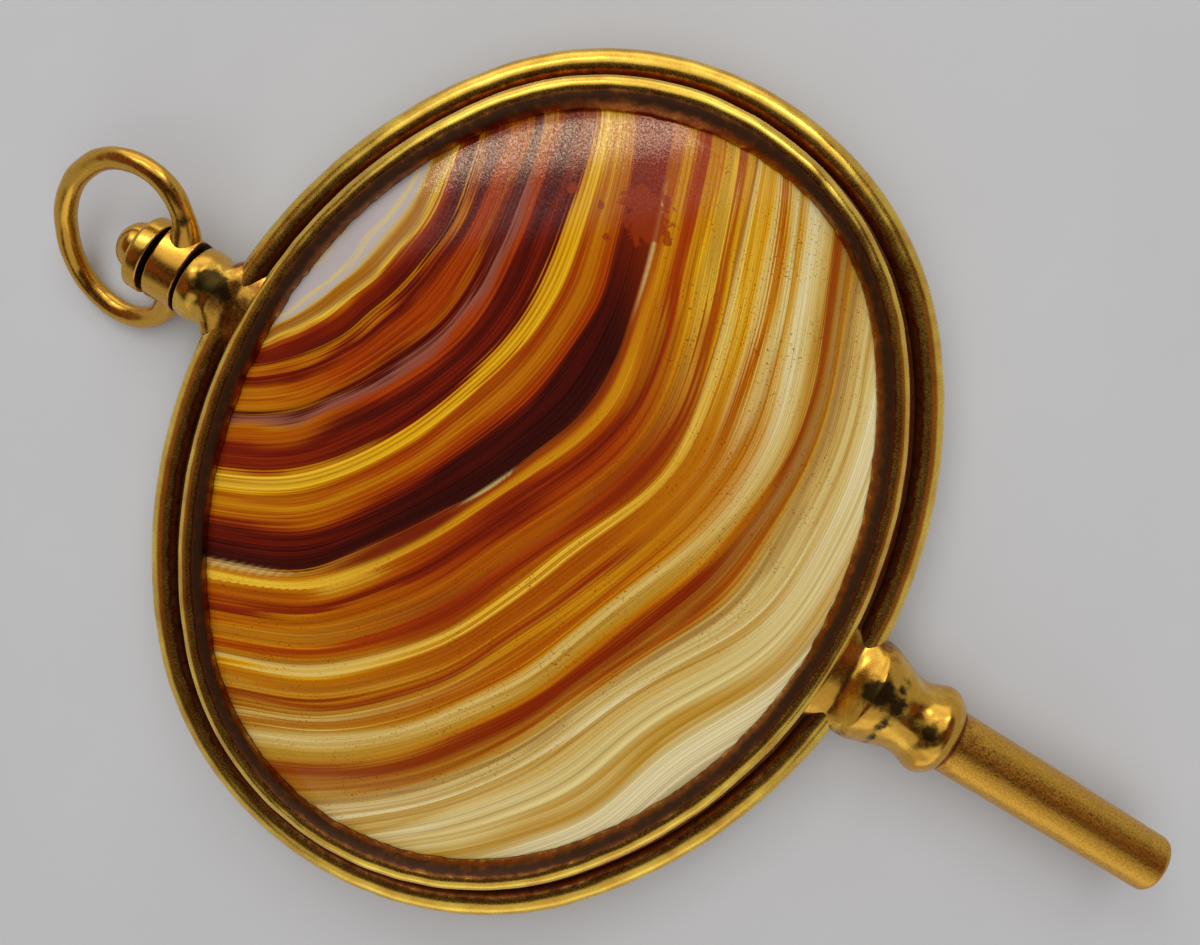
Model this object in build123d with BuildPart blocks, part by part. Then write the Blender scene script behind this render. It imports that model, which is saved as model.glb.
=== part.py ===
from build123d import *
from math import acos, asin, atan2, cos, degrees, hypot, radians, sin, sqrt
import os

# Watch key with an oval banded agate held between two reeded bezels in a gilt rim, a winding
# pipe in a bulbed ferrule at one end, and a wire bow on a swivelling collar at the other.
# Millimetres. The key's axis is X, with the mouth of the pipe at the origin and the bow
# towards -X. The stone's front face looks up, along +Z, and Y runs across the key.

# Oval rim, measured over its outside
OVAL_WIDTH = 40.0
OVAL_LENGTH = 33.0

# Section of the rim frame: a bowed edge, a round bead each side of it and a band round the stone
EDGE_ARC_RADIUS = 3.0
FRAME_BEAD_RADIUS = 0.75
FRAME_BEAD_HEIGHT = 0.4
GROOVE_FLAT = 0.05
BAND_HALF_HEIGHT = 1.25

# Section of each bezel: a cove, a tall round bead, a steep wall and a thin lip over the stone
COVE_RADIUS = 0.2
BEZEL_BEAD_RADIUS = 0.5
BEZEL_BEAD_RISE = 1.75
WALL_WIDTH = 0.32
LIP_THICKNESS = 0.12
LIP_OVERLAP = 0.6
BEZEL_WALL = 0.28

# Agate plaque, half thicknesses at its middle and at its edge
STONE_CROWN = 2.4
STONE_EDGE = 1.62

# Winding pipe and its square
PIPE_RADIUS = 1.45
PIPE_MOUTH_RADIUS = 1.3
PIPE_SHOWING = 10.7
PIPE_SEATED = 2.6
PIPE_END_ROUNDING = 0.28
TENON_RADIUS = 0.8
SQUARE_ACROSS_FLATS = 1.4
SQUARE_DEPTH = 5.5
DRILL_DEPTH = 7.5

# Ferrule between rim and pipe: its walls over the pipe at foot, bulb, waist, small bulb and lip
FERRULE_LENGTH = 4.47
FERRULE_FOOT_WALL = 0.83
FERRULE_BULB_WALL = 0.88
FERRULE_WAIST_WALL = 0.52
FERRULE_COLLAR_WALL = 0.67
FERRULE_LIP_WALL = 0.24
FERRULE_MOUTH_CHAMFER = 0.12

# Neck that carries the swivel
NECK_LENGTH = 1.57
NECK_FOOT_RADIUS = 2.0
NECK_WAIST_RADIUS = 1.64
NECK_BULB_RADIUS = 1.82
NECK_FACE_RADIUS = 1.55
NECK_FILLET_ANGLE = 70
NECK_ROUNDING_ANGLE = 60

# Swivel: rivet, washer and collar
PIN_RADIUS = 0.6
HEAD_RADIUS = 1.07
HEAD_HEIGHT = 0.95
HEAD_SHOULDER = 0.3
WASHER_RADIUS = 1.85
WASHER_THICKNESS = 0.6
WASHER_ROUNDING = 0.24
COLLAR_RADIUS = 1.74
COLLAR_ROUNDING = 0.15
COLLAR_FLAT_DEPTH = 0.34

# Bow: a wire ring whose ends thicken where they are soldered to the collar
BOW_WIDTH = 8.8
BOW_FAR_REACH = 3.73
BOW_WIRE_RADIUS = 0.5
BOW_END_RADIUS = 0.72
BOW_TURN = 32

# Clearances
SOLDER_GAP = 0.02
COLLAR_END_MARGIN = 0.02
SWIVEL_CLEARANCE = 0.05
SWIVEL_GAP = 0.15
HEAD_PLAY = 0.45
CUT_OVERRUN = 1.0

# Places along the ferrule and the neck, and up the flare of the bow's ends, as shares
ferrule_bulb_share = 0.14
ferrule_waist_share = 0.56
ferrule_collar_share = 0.83
neck_waist_share = 0.28
neck_bulb_share = 0.66
flare_shares = (0.0, 0.25, 0.5)
drill_point_share = 0.6

# Section places, as insets from the outside of the rim and heights above mid-thickness
frame_bead_reach = sqrt((EDGE_ARC_RADIUS - FRAME_BEAD_RADIUS) ** 2 - FRAME_BEAD_HEIGHT**2)
frame_bead_inset = EDGE_ARC_RADIUS - frame_bead_reach
frame_crest_height = FRAME_BEAD_HEIGHT + FRAME_BEAD_RADIUS
bezel_outside = frame_bead_inset + FRAME_BEAD_RADIUS + GROOVE_FLAT
bezel_bead_inset = bezel_outside + COVE_RADIUS + BEZEL_BEAD_RADIUS
bezel_bead_height = FRAME_BEAD_HEIGHT + BEZEL_BEAD_RISE
rim_width = bezel_bead_inset + BEZEL_BEAD_RADIUS + WALL_WIDTH
stone_inset = rim_width - LIP_OVERLAP
band_inside = stone_inset - SOLDER_GAP
band_outside = bezel_outside + COVE_RADIUS + BEZEL_WALL
lip_rise = (STONE_CROWN - STONE_EDGE) * LIP_OVERLAP / (OVAL_LENGTH / 2 - stone_inset) * 2
lip_underside = STONE_EDGE + lip_rise + SOLDER_GAP

# Places along the key's axis, from the mouth of the pipe
ferrule_mouth_x = -PIPE_SHOWING
rim_front_x = ferrule_mouth_x - FERRULE_LENGTH
oval_x = rim_front_x - OVAL_LENGTH / 2
rim_back_x = rim_front_x - OVAL_LENGTH
neck_face_x = rim_back_x - NECK_LENGTH
collar_length = 2 * (BOW_END_RADIUS + COLLAR_END_MARGIN)
collar_x = neck_face_x - SWIVEL_GAP - collar_length / 2
washer_x = collar_x - collar_length / 2 - HEAD_PLAY - WASHER_THICKNESS


# Radii of a four-centred oval: of its arcs at the ends of the width, and of the length
def oval_radii(half_width, half_length):
    diagonal = hypot(half_width, half_length)
    spread = (half_width - half_length) * diagonal
    return (diagonal**2 - spread) / (2 * half_width), (diagonal**2 + spread) / (2 * half_length)


# Half the sweep of the arcs at the ends of the length, in degrees
def oval_half_angle(half_width, half_length):
    return degrees(atan2(half_length, half_width))


end_radius, side_radius = oval_radii(OVAL_WIDTH / 2, OVAL_LENGTH / 2)
end_centre_y = OVAL_WIDTH / 2 - end_radius
side_centre_x = side_radius - OVAL_LENGTH / 2
side_half_angle = oval_half_angle(OVAL_WIDTH / 2, OVAL_LENGTH / 2)
# Centre of each arc, its radius, the direction of its middle and half its sweep
OVAL_ARCS = (
    (oval_x - side_centre_x, 0, side_radius, 0, side_half_angle),
    (oval_x, end_centre_y, end_radius, 90, 90 - side_half_angle),
    (oval_x + side_centre_x, 0, side_radius, 180, side_half_angle),
    (oval_x, -end_centre_y, end_radius, 270, 90 - side_half_angle),
)


# Carries a section, drawn as (distance from the arc's centre, height), once round the oval
def revolve_round_oval(section_outline):
    for centre_x, centre_y, radius, middle, half_sweep in OVAL_ARCS:
        start = radians(middle - half_sweep)
        plane = Plane(
            origin=(centre_x, centre_y, 0),
            x_dir=(cos(start), sin(start), 0),
            z_dir=(sin(start), -cos(start), 0),
        )
        with BuildSketch(plane) as section:
            make_face(section_outline(radius).edges())
        revolve(section.sketch, Axis((centre_x, centre_y, 0), (0, 0, 1)), 2 * half_sweep)


# Cuts a round hole along the key's axis between two places
def bore(radius, from_x, to_x):
    with BuildSketch(Plane.YZ.offset(from_x)) as hole:
        Circle(radius)
    extrude(hole.sketch, amount=to_x - from_x, mode=Mode.SUBTRACT)


# The point of a bead where a straight wall to a lower place inside it begins
def wall_start(bead_x, bead_z, lip_x, lip_z):
    reach = hypot(lip_x - bead_x, lip_z - bead_z)
    direction = atan2(lip_z - bead_z, lip_x - bead_x) - acos(BEZEL_BEAD_RADIUS / reach)
    return bead_x + BEZEL_BEAD_RADIUS * cos(direction), bead_z + BEZEL_BEAD_RADIUS * sin(direction)


def frame_section(radius):
    bead_x = radius - frame_bead_inset
    lean = atan2(FRAME_BEAD_HEIGHT, frame_bead_reach)
    join_x = bead_x + FRAME_BEAD_RADIUS * cos(lean)
    join_z = FRAME_BEAD_HEIGHT + FRAME_BEAD_RADIUS * sin(lean)
    foot_x = bead_x - FRAME_BEAD_RADIUS
    band_x = radius - band_outside
    wall_x = radius - band_inside
    with BuildLine() as outline:
        Polyline(
            (foot_x, -FRAME_BEAD_HEIGHT),
            (band_x, -FRAME_BEAD_HEIGHT),
            (band_x, -BAND_HALF_HEIGHT),
            (wall_x, -BAND_HALF_HEIGHT),
            (wall_x, BAND_HALF_HEIGHT),
            (band_x, BAND_HALF_HEIGHT),
            (band_x, FRAME_BEAD_HEIGHT),
            (foot_x, FRAME_BEAD_HEIGHT),
        )
        ThreePointArc((foot_x, FRAME_BEAD_HEIGHT), (bead_x, frame_crest_height), (join_x, join_z))
        ThreePointArc((join_x, join_z), (radius, 0), (join_x, -join_z))
        ThreePointArc((join_x, -join_z), (bead_x, -frame_crest_height), (foot_x, -FRAME_BEAD_HEIGHT))
    return outline.line


def bezel_section(radius):
    outside_x = radius - bezel_outside
    bead_x = radius - bezel_bead_inset
    lip_x = radius - rim_width
    wall_x = radius - stone_inset
    band_x = radius - band_outside + SOLDER_GAP
    lip_top = lip_underside + LIP_THICKNESS
    foot_z = FRAME_BEAD_HEIGHT + SOLDER_GAP
    cove_z = foot_z + COVE_RADIUS
    cove_x = outside_x - COVE_RADIUS
    crest = (bead_x, bezel_bead_height + BEZEL_BEAD_RADIUS)
    bead_end = wall_start(bead_x, bezel_bead_height, lip_x, lip_top)
    cove_middle = (outside_x - COVE_RADIUS * sin(radians(45)), cove_z - COVE_RADIUS * sin(radians(45)))
    with BuildLine() as outline:
        ThreePointArc((outside_x, foot_z), cove_middle, (cove_x, cove_z))
        Line((cove_x, cove_z), (cove_x, bezel_bead_height))
        ThreePointArc((cove_x, bezel_bead_height), crest, bead_end)
        Polyline(
            bead_end,
            (lip_x, lip_top),
            (lip_x, lip_underside),
            (wall_x, lip_underside),
            (wall_x, BAND_HALF_HEIGHT + SOLDER_GAP),
            (band_x, BAND_HALF_HEIGHT + SOLDER_GAP),
            (band_x, foot_z),
            (outside_x, foot_z),
        )
    return outline.line


# Everything within the frame's outer bead, which the feet of the neck and the ferrule straddle
def saddle_section(radius):
    with BuildLine() as outline:
        Polyline(
            (radius - rim_width, -BAND_HALF_HEIGHT),
            (radius - bezel_outside, -BAND_HALF_HEIGHT),
            (radius - bezel_outside, -FRAME_BEAD_HEIGHT),
            (radius - frame_bead_inset, -FRAME_BEAD_HEIGHT),
            (radius - frame_bead_inset, FRAME_BEAD_HEIGHT),
            (radius - bezel_outside, FRAME_BEAD_HEIGHT),
            (radius - bezel_outside, BAND_HALF_HEIGHT),
            (radius - rim_width, BAND_HALF_HEIGHT),
            close=True,
        )
    return outline.line


# Rim frame, drilled at one end for the pipe's tenon and at the other for the rivet
with BuildPart() as rim_frame:
    revolve_round_oval(frame_section)
    bore(TENON_RADIUS + SOLDER_GAP, rim_front_x - stone_inset, rim_front_x + CUT_OVERRUN)
    bore(PIN_RADIUS + SOLDER_GAP, rim_back_x - CUT_OVERRUN, rim_back_x + stone_inset)

with BuildPart() as saddle:
    revolve_round_oval(frame_section)
    revolve_round_oval(saddle_section)

# Bezels, one each side of the stone, drilled with the frame
with BuildPart() as front_bezel:
    revolve_round_oval(bezel_section)
    bore(TENON_RADIUS + SOLDER_GAP, rim_front_x - stone_inset, rim_front_x)
    bore(PIN_RADIUS + SOLDER_GAP, rim_back_x, rim_back_x + stone_inset)

with BuildPart() as back_bezel:
    add(mirror(front_bezel.part, about=Plane.XY))


# Radius of a dome's arc over half a side of the stone
def dome_radius(half_side):
    rise = STONE_CROWN - STONE_EDGE
    return (half_side**2 + rise**2) / (2 * rise)


# Agate plaque: an oval slab with both faces worked to a low dome, flatter across the key
long_radius = dome_radius(OVAL_WIDTH / 2 - stone_inset)
short_radius = dome_radius(OVAL_LENGTH / 2 - stone_inset)
dome_axis_z = STONE_CROWN - long_radius
dome_sweep = degrees(asin(OVAL_LENGTH / 2 / short_radius))
with BuildPart() as stone_dome:
    with BuildSketch(Plane.XZ):
        with BuildLine():
            crown_centre = (oval_x, STONE_CROWN - short_radius)
            crown_arc = CenterArc(crown_centre, short_radius, 90 - dome_sweep, 2 * dome_sweep)
            Polyline(
                crown_arc @ 1,
                (rim_back_x, dome_axis_z),
                (rim_front_x, dome_axis_z),
                crown_arc @ 0,
            )
        make_face()
    revolve(axis=Axis((oval_x, 0, dome_axis_z), (1, 0, 0)))

with BuildPart() as stone_slab:
    with BuildSketch(Plane.XY):
        with BuildLine():
            for centre_x, centre_y, radius, middle, half_sweep in OVAL_ARCS:
                CenterArc((centre_x, centre_y), radius - stone_inset, middle - half_sweep, 2 * half_sweep)
        make_face()
    extrude(amount=STONE_CROWN + CUT_OVERRUN, both=True)

domed_slab = stone_slab.part & stone_dome.part & mirror(stone_dome.part, about=Plane.XY)
with BuildPart() as agate_plaque:
    add(domed_slab)

# Winding pipe: shouldered tenon, slight taper, drilled up the middle and squared at the mouth
pipe_root_x = ferrule_mouth_x - PIPE_SEATED
tenon_end_x = rim_front_x - band_inside
drill_radius = SQUARE_ACROSS_FLATS / 2
with BuildPart() as key_pipe:
    with BuildSketch(Plane.XY):
        with BuildLine():
            Polyline(
                (tenon_end_x, 0),
                (tenon_end_x, TENON_RADIUS),
                (pipe_root_x, TENON_RADIUS),
                (pipe_root_x, PIPE_RADIUS),
                (ferrule_mouth_x, PIPE_RADIUS),
                (0, PIPE_MOUTH_RADIUS),
                (0, 0),
                close=True,
            )
        make_face()
    revolve(axis=Axis.X)
    fillet(key_pipe.faces().sort_by(Axis.X)[-1].edges(), radius=PIPE_END_ROUNDING)
    with BuildSketch(Plane.YZ):
        Rectangle(SQUARE_ACROSS_FLATS, SQUARE_ACROSS_FLATS)
    extrude(amount=-SQUARE_DEPTH, mode=Mode.SUBTRACT)
    with BuildSketch(Plane.XY):
        with BuildLine():
            Polyline(
                (0, 0),
                (0, drill_radius),
                (-DRILL_DEPTH, drill_radius),
                (-DRILL_DEPTH - drill_radius * drill_point_share, 0),
                close=True,
            )
        make_face()
    revolve(axis=Axis.X, mode=Mode.SUBTRACT)

# Ferrule: foot notched over the rim, large bulb, waist, smaller bulb and a lip round the pipe
ferrule_foot_x = rim_front_x - bezel_outside + SOLDER_GAP
bulb_x = rim_front_x + FERRULE_LENGTH * ferrule_bulb_share
waist_x = rim_front_x + FERRULE_LENGTH * ferrule_waist_share
small_bulb_x = rim_front_x + FERRULE_LENGTH * ferrule_collar_share
with BuildPart() as pipe_ferrule:
    with BuildSketch(Plane.XY):
        with BuildLine():
            Polyline(
                (ferrule_foot_x, 0),
                (ferrule_foot_x, PIPE_RADIUS + FERRULE_FOOT_WALL),
                (rim_front_x, PIPE_RADIUS + FERRULE_FOOT_WALL),
            )
            Spline(
                (rim_front_x, PIPE_RADIUS + FERRULE_FOOT_WALL),
                (bulb_x, PIPE_RADIUS + FERRULE_BULB_WALL),
                (waist_x, PIPE_RADIUS + FERRULE_WAIST_WALL),
                (small_bulb_x, PIPE_RADIUS + FERRULE_COLLAR_WALL),
                (ferrule_mouth_x, PIPE_RADIUS + FERRULE_LIP_WALL),
            )
            Polyline(
                (ferrule_mouth_x, PIPE_RADIUS + FERRULE_LIP_WALL),
                (ferrule_mouth_x, 0),
                (ferrule_foot_x, 0),
            )
        make_face()
    revolve(axis=Axis.X)
    add(saddle.part, mode=Mode.SUBTRACT)
    bore(PIPE_RADIUS + SOLDER_GAP, pipe_root_x - SOLDER_GAP, ferrule_mouth_x + CUT_OVERRUN)
    bore(TENON_RADIUS + SOLDER_GAP, ferrule_foot_x - CUT_OVERRUN, pipe_root_x + CUT_OVERRUN)
    mouth = pipe_ferrule.faces().sort_by(Axis.X)[-1].edges().sort_by(SortBy.RADIUS)[0]
    chamfer(mouth, length=FERRULE_MOUTH_CHAMFER)

# Neck: foot notched over the rim, waist, bulb and the face that the collar turns against
neck_foot_x = rim_back_x + bezel_outside - SOLDER_GAP
neck_waist_x = rim_back_x - NECK_LENGTH * neck_waist_share
neck_bulb_x = rim_back_x - NECK_LENGTH * neck_bulb_share
neck_fillet_direction = (-cos(radians(NECK_FILLET_ANGLE)), -sin(radians(NECK_FILLET_ANGLE)))
neck_rounding_direction = (-cos(radians(NECK_ROUNDING_ANGLE)), -sin(radians(NECK_ROUNDING_ANGLE)))
with BuildPart() as pendant_neck:
    with BuildSketch(Plane.XY):
        with BuildLine():
            Polyline(
                (neck_foot_x, 0),
                (neck_foot_x, NECK_FOOT_RADIUS),
                (rim_back_x, NECK_FOOT_RADIUS),
            )
            Spline(
                (rim_back_x, NECK_FOOT_RADIUS),
                (neck_waist_x, NECK_WAIST_RADIUS),
                (neck_bulb_x, NECK_BULB_RADIUS),
                (neck_face_x, NECK_FACE_RADIUS),
                tangents=[neck_fillet_direction, neck_rounding_direction],
            )
            Polyline((neck_face_x, NECK_FACE_RADIUS), (neck_face_x, 0), (neck_foot_x, 0))
        make_face()
    revolve(axis=Axis.X)
    add(saddle.part, mode=Mode.SUBTRACT)
    bore(PIN_RADIUS + SOLDER_GAP, neck_face_x - CUT_OVERRUN, neck_foot_x + CUT_OVERRUN)

# Swivel rivet: domed head and a shank through washer, collar, neck and rim
head_x = washer_x - HEAD_HEIGHT
shank_end_x = rim_back_x + band_inside
head_curve_x = washer_x - HEAD_SHOULDER
head_curve_middle = (
    head_curve_x - (HEAD_HEIGHT - HEAD_SHOULDER) * sin(radians(45)),
    HEAD_RADIUS * sin(radians(45)),
)
with BuildPart() as swivel_rivet:
    with BuildSketch(Plane.XY):
        with BuildLine():
            ThreePointArc((head_x, 0), head_curve_middle, (head_curve_x, HEAD_RADIUS))
            Polyline(
                (head_curve_x, HEAD_RADIUS),
                (washer_x, HEAD_RADIUS),
                (washer_x, PIN_RADIUS),
                (shank_end_x, PIN_RADIUS),
                (shank_end_x, 0),
                (head_x, 0),
            )
        make_face()
    revolve(axis=Axis.X)

# Washer, soldered to the shank against the head
with BuildPart() as swivel_washer:
    with BuildSketch(Plane.YZ.offset(washer_x)):
        Circle(WASHER_RADIUS)
    extrude(amount=WASHER_THICKNESS)
    fillet(swivel_washer.edges().filter_by(GeomType.CIRCLE), radius=WASHER_ROUNDING)
    bore(PIN_RADIUS + SOLDER_GAP, washer_x - CUT_OVERRUN, washer_x + WASHER_THICKNESS + CUT_OVERRUN)

# The bow and its collar lie in a plane turned about the key's axis
bow_plane = Plane.XY.rotated((BOW_TURN, 0, 0))
seat_y = COLLAR_RADIUS - COLLAR_FLAT_DEPTH

# Collar: a barrel with two flats that take the ends of the bow
with BuildPart() as bow_collar:
    with BuildSketch(Plane.YZ.offset(collar_x - collar_length / 2)):
        Circle(COLLAR_RADIUS)
    extrude(amount=collar_length)
    fillet(bow_collar.edges().filter_by(GeomType.CIRCLE), radius=COLLAR_ROUNDING)
    bore(
        PIN_RADIUS + SWIVEL_CLEARANCE,
        collar_x - collar_length / 2 - CUT_OVERRUN,
        collar_x + collar_length / 2 + CUT_OVERRUN,
    )
    with BuildSketch(bow_plane):
        with Locations((collar_x, seat_y + CUT_OVERRUN / 2), (collar_x, -seat_y - CUT_OVERRUN / 2)):
            Rectangle(collar_length + CUT_OVERRUN, CUT_OVERRUN)
    extrude(amount=COLLAR_RADIUS, both=True, mode=Mode.SUBTRACT)

# Bow: half an oval away from the collar, and a quarter turn in to each flat
bow_half_width = BOW_WIDTH / 2 - BOW_WIRE_RADIUS
bow_reach = BOW_FAR_REACH - BOW_WIRE_RADIUS
near_radius = bow_half_width - seat_y
bow_x = collar_x - near_radius
shoulder_radius, far_radius = oval_radii(bow_half_width, bow_reach)
shoulder_centre_y = bow_half_width - shoulder_radius
far_centre_x = bow_x - bow_reach + far_radius
far_half_angle = oval_half_angle(bow_half_width, bow_reach)
flare_sweep = 90 * flare_shares[-1]

with BuildLine(bow_plane) as bow_line:
    CenterArc((bow_x, seat_y), near_radius, flare_sweep, 90 - flare_sweep)
    CenterArc((bow_x, shoulder_centre_y), shoulder_radius, 90, 90 - far_half_angle)
    CenterArc((far_centre_x, 0), far_radius, 180 - far_half_angle, 2 * far_half_angle)
    CenterArc((bow_x, -shoulder_centre_y), shoulder_radius, 180 + far_half_angle, 90 - far_half_angle)
    CenterArc((bow_x, -seat_y), near_radius, 270, 90 - flare_sweep)

# One thickened end of the bow, from its flat on the collar up to the plain wire
with BuildPart() as bow_end:
    for share in flare_shares:
        turn = radians(90 * share)
        thinning = sin(radians(90) * share / flare_shares[-1])
        section_plane = Plane(
            origin=bow_plane.from_local_coords(
                (bow_x + near_radius * cos(turn), seat_y + near_radius * sin(turn), 0)
            ),
            z_dir=bow_plane.y_dir * cos(turn) - bow_plane.x_dir * sin(turn),
        )
        with BuildSketch(section_plane):
            Circle(BOW_END_RADIUS + (BOW_WIRE_RADIUS - BOW_END_RADIUS) * thinning)
    loft()

with BuildPart() as bow_ring:
    with BuildSketch(Plane(origin=bow_line.line @ 0, z_dir=bow_line.line % 0)):
        Circle(BOW_WIRE_RADIUS)
    sweep(path=bow_line.line)
    add(bow_end.part)
    add(mirror(bow_end.part, about=Plane(origin=(0, 0, 0), z_dir=bow_plane.y_dir)))

# Each finished piece goes to a file of its own
rim_frame.part.label = "rim_frame"
front_bezel.part.label = "front_bezel"
back_bezel.part.label = "back_bezel"
agate_plaque.part.label = "agate_plaque"
key_pipe.part.label = "key_pipe"
pipe_ferrule.part.label = "pipe_ferrule"
pendant_neck.part.label = "pendant_neck"
swivel_rivet.part.label = "swivel_rivet"
swivel_washer.part.label = "swivel_washer"
bow_collar.part.label = "bow_collar"
bow_ring.part.label = "bow_ring"

os.makedirs("parts", exist_ok=True)
export_step(rim_frame.part, "parts/rim_frame.step")
export_step(front_bezel.part, "parts/front_bezel.step")
export_step(back_bezel.part, "parts/back_bezel.step")
export_step(agate_plaque.part, "parts/agate_plaque.step")
export_step(key_pipe.part, "parts/key_pipe.step")
export_step(pipe_ferrule.part, "parts/pipe_ferrule.step")
export_step(pendant_neck.part, "parts/pendant_neck.step")
export_step(swivel_rivet.part, "parts/swivel_rivet.step")
export_step(swivel_washer.part, "parts/swivel_washer.step")
export_step(bow_collar.part, "parts/bow_collar.step")
export_step(bow_ring.part, "parts/bow_ring.step")
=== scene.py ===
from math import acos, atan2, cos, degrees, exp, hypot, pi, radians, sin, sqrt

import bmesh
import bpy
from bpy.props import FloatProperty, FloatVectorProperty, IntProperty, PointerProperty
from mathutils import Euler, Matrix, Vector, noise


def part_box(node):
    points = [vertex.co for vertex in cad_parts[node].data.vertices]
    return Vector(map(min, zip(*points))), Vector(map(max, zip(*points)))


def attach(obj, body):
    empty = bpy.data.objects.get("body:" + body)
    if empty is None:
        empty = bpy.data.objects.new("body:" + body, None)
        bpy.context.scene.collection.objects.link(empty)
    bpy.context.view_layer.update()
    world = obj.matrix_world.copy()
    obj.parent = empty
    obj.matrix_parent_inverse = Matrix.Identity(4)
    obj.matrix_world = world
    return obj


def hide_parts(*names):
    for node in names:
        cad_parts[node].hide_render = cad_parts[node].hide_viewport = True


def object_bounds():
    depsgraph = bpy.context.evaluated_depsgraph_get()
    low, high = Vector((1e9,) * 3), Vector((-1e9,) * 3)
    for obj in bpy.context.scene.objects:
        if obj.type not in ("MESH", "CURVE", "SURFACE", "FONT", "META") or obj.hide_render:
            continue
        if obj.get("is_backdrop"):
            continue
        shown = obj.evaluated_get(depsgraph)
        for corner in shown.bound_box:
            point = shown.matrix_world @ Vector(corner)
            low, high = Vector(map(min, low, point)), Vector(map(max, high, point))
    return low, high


bl_info = {
    "name": "Agate Watch Key",
    "version": (1, 0, 0),
    "blender": (4, 5, 0),
    "location": "View3D > Sidebar > Watch Key",
    "description": "Dresses a gilt watch key: banded agate, reeded bezels, winding pipe and swivel bow",
    "category": "Object",
}

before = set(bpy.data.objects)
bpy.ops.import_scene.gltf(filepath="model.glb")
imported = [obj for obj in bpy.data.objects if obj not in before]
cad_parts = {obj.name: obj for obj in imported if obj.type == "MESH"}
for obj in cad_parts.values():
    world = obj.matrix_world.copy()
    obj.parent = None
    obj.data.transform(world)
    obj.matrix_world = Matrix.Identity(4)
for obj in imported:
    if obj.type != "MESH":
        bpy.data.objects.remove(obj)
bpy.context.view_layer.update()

MM = 0.001

# Boxes of the CAD pieces, from which the dressed pieces take their places
rim_low, rim_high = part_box("rim_frame")
bezel_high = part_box("front_bezel")[1]
stone_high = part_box("agate_plaque")[1]
pipe_low, pipe_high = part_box("key_pipe")
ferrule_low, ferrule_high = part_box("pipe_ferrule")
neck_low, neck_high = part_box("pendant_neck")
rivet_low, rivet_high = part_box("swivel_rivet")
washer_low, washer_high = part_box("swivel_washer")
collar_low, collar_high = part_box("bow_collar")

OVAL_X = (rim_low.x + rim_high.x) / 2
OVAL_CENTRE = Vector((OVAL_X, 0, 0))

# Hidden fits of the setting: the gap between its parts, half the height of the frame's inner band, the
# width of the step between that band and the groove, how far the groove's round starts above the band,
# half the stone's thickness at its edge, and how far the lip's edge is broken
SEAT_GAP = 0.02 * MM
BAND_HALF_HEIGHT = 1.25 * MM
BAND_STEP = 0.28 * MM
GROOVE_LIFT = 0.1 * MM
STONE_EDGE = 1.62 * MM
LIP_BREAK = 0.02 * MM

# Hidden fits of the fittings: how far the pipe's full width sits in the ferrule, its thin tenon beyond
# that, and how far the soldered feet reach on under the beads
PIPE_SEAT = 2.6 * MM
TENON_RADIUS = 0.8 * MM
FOOT_REACH = 0.35 * MM

# How much taller the rivet's head and how much thicker the washer is than in the CAD model
SWIVEL_EXTRA = 0.2 * MM

# Blender's vector noise starts from the clock, unless it is given a seed
NOISE_SEED = 4

# Edges that turn by more degrees than this stay crisp
SHARP_ANGLE = 35

# The photograph: its size, and where its camera stood, in the frame of the key
PHOTO_WIDTH = 1200
PHOTO_HEIGHT = 945
PHOTO_FOCUS = 1200
SENSOR_WIDTH = 36
CAMERA_PLACE = Vector((-28.585, 6.618, 52.989)) * MM
CAMERA_TURN = Euler((radians(-3.527), radians(3.607), radians(31.156)))
CAMERA_AXES = CAMERA_TURN.to_matrix()
IMAGE_RIGHT = CAMERA_AXES @ Vector((1, 0, 0))
IMAGE_UP = CAMERA_AXES @ Vector((0, 1, 0))


def photo_pixel(point):
    """Where the photograph shows a point of the front. A point of the back gets the pixel of the front
    point over it, because the back mirrors the front."""
    seen = CAMERA_AXES.transposed() @ (Vector((point.x, point.y, abs(point.z))) - CAMERA_PLACE)
    scale = PHOTO_FOCUS / -seen.z
    return PHOTO_WIDTH / 2 + seen.x * scale, PHOTO_HEIGHT / 2 - seen.y * scale


def linear(*colour):
    """A colour given in the photograph's 0 to 255 values, as Blender's linear one."""
    def one(value):
        share = value / 255
        return share / 12.92 if share <= 0.04045 else ((share + 0.055) / 1.055) ** 2.4
    return opaque(one(value) for value in colour)


def opaque(colour):
    """A colour of three values with the fourth that Blender's sockets ask for."""
    return (*colour, 1.0)


# Sizes and colours that a user would change


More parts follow.
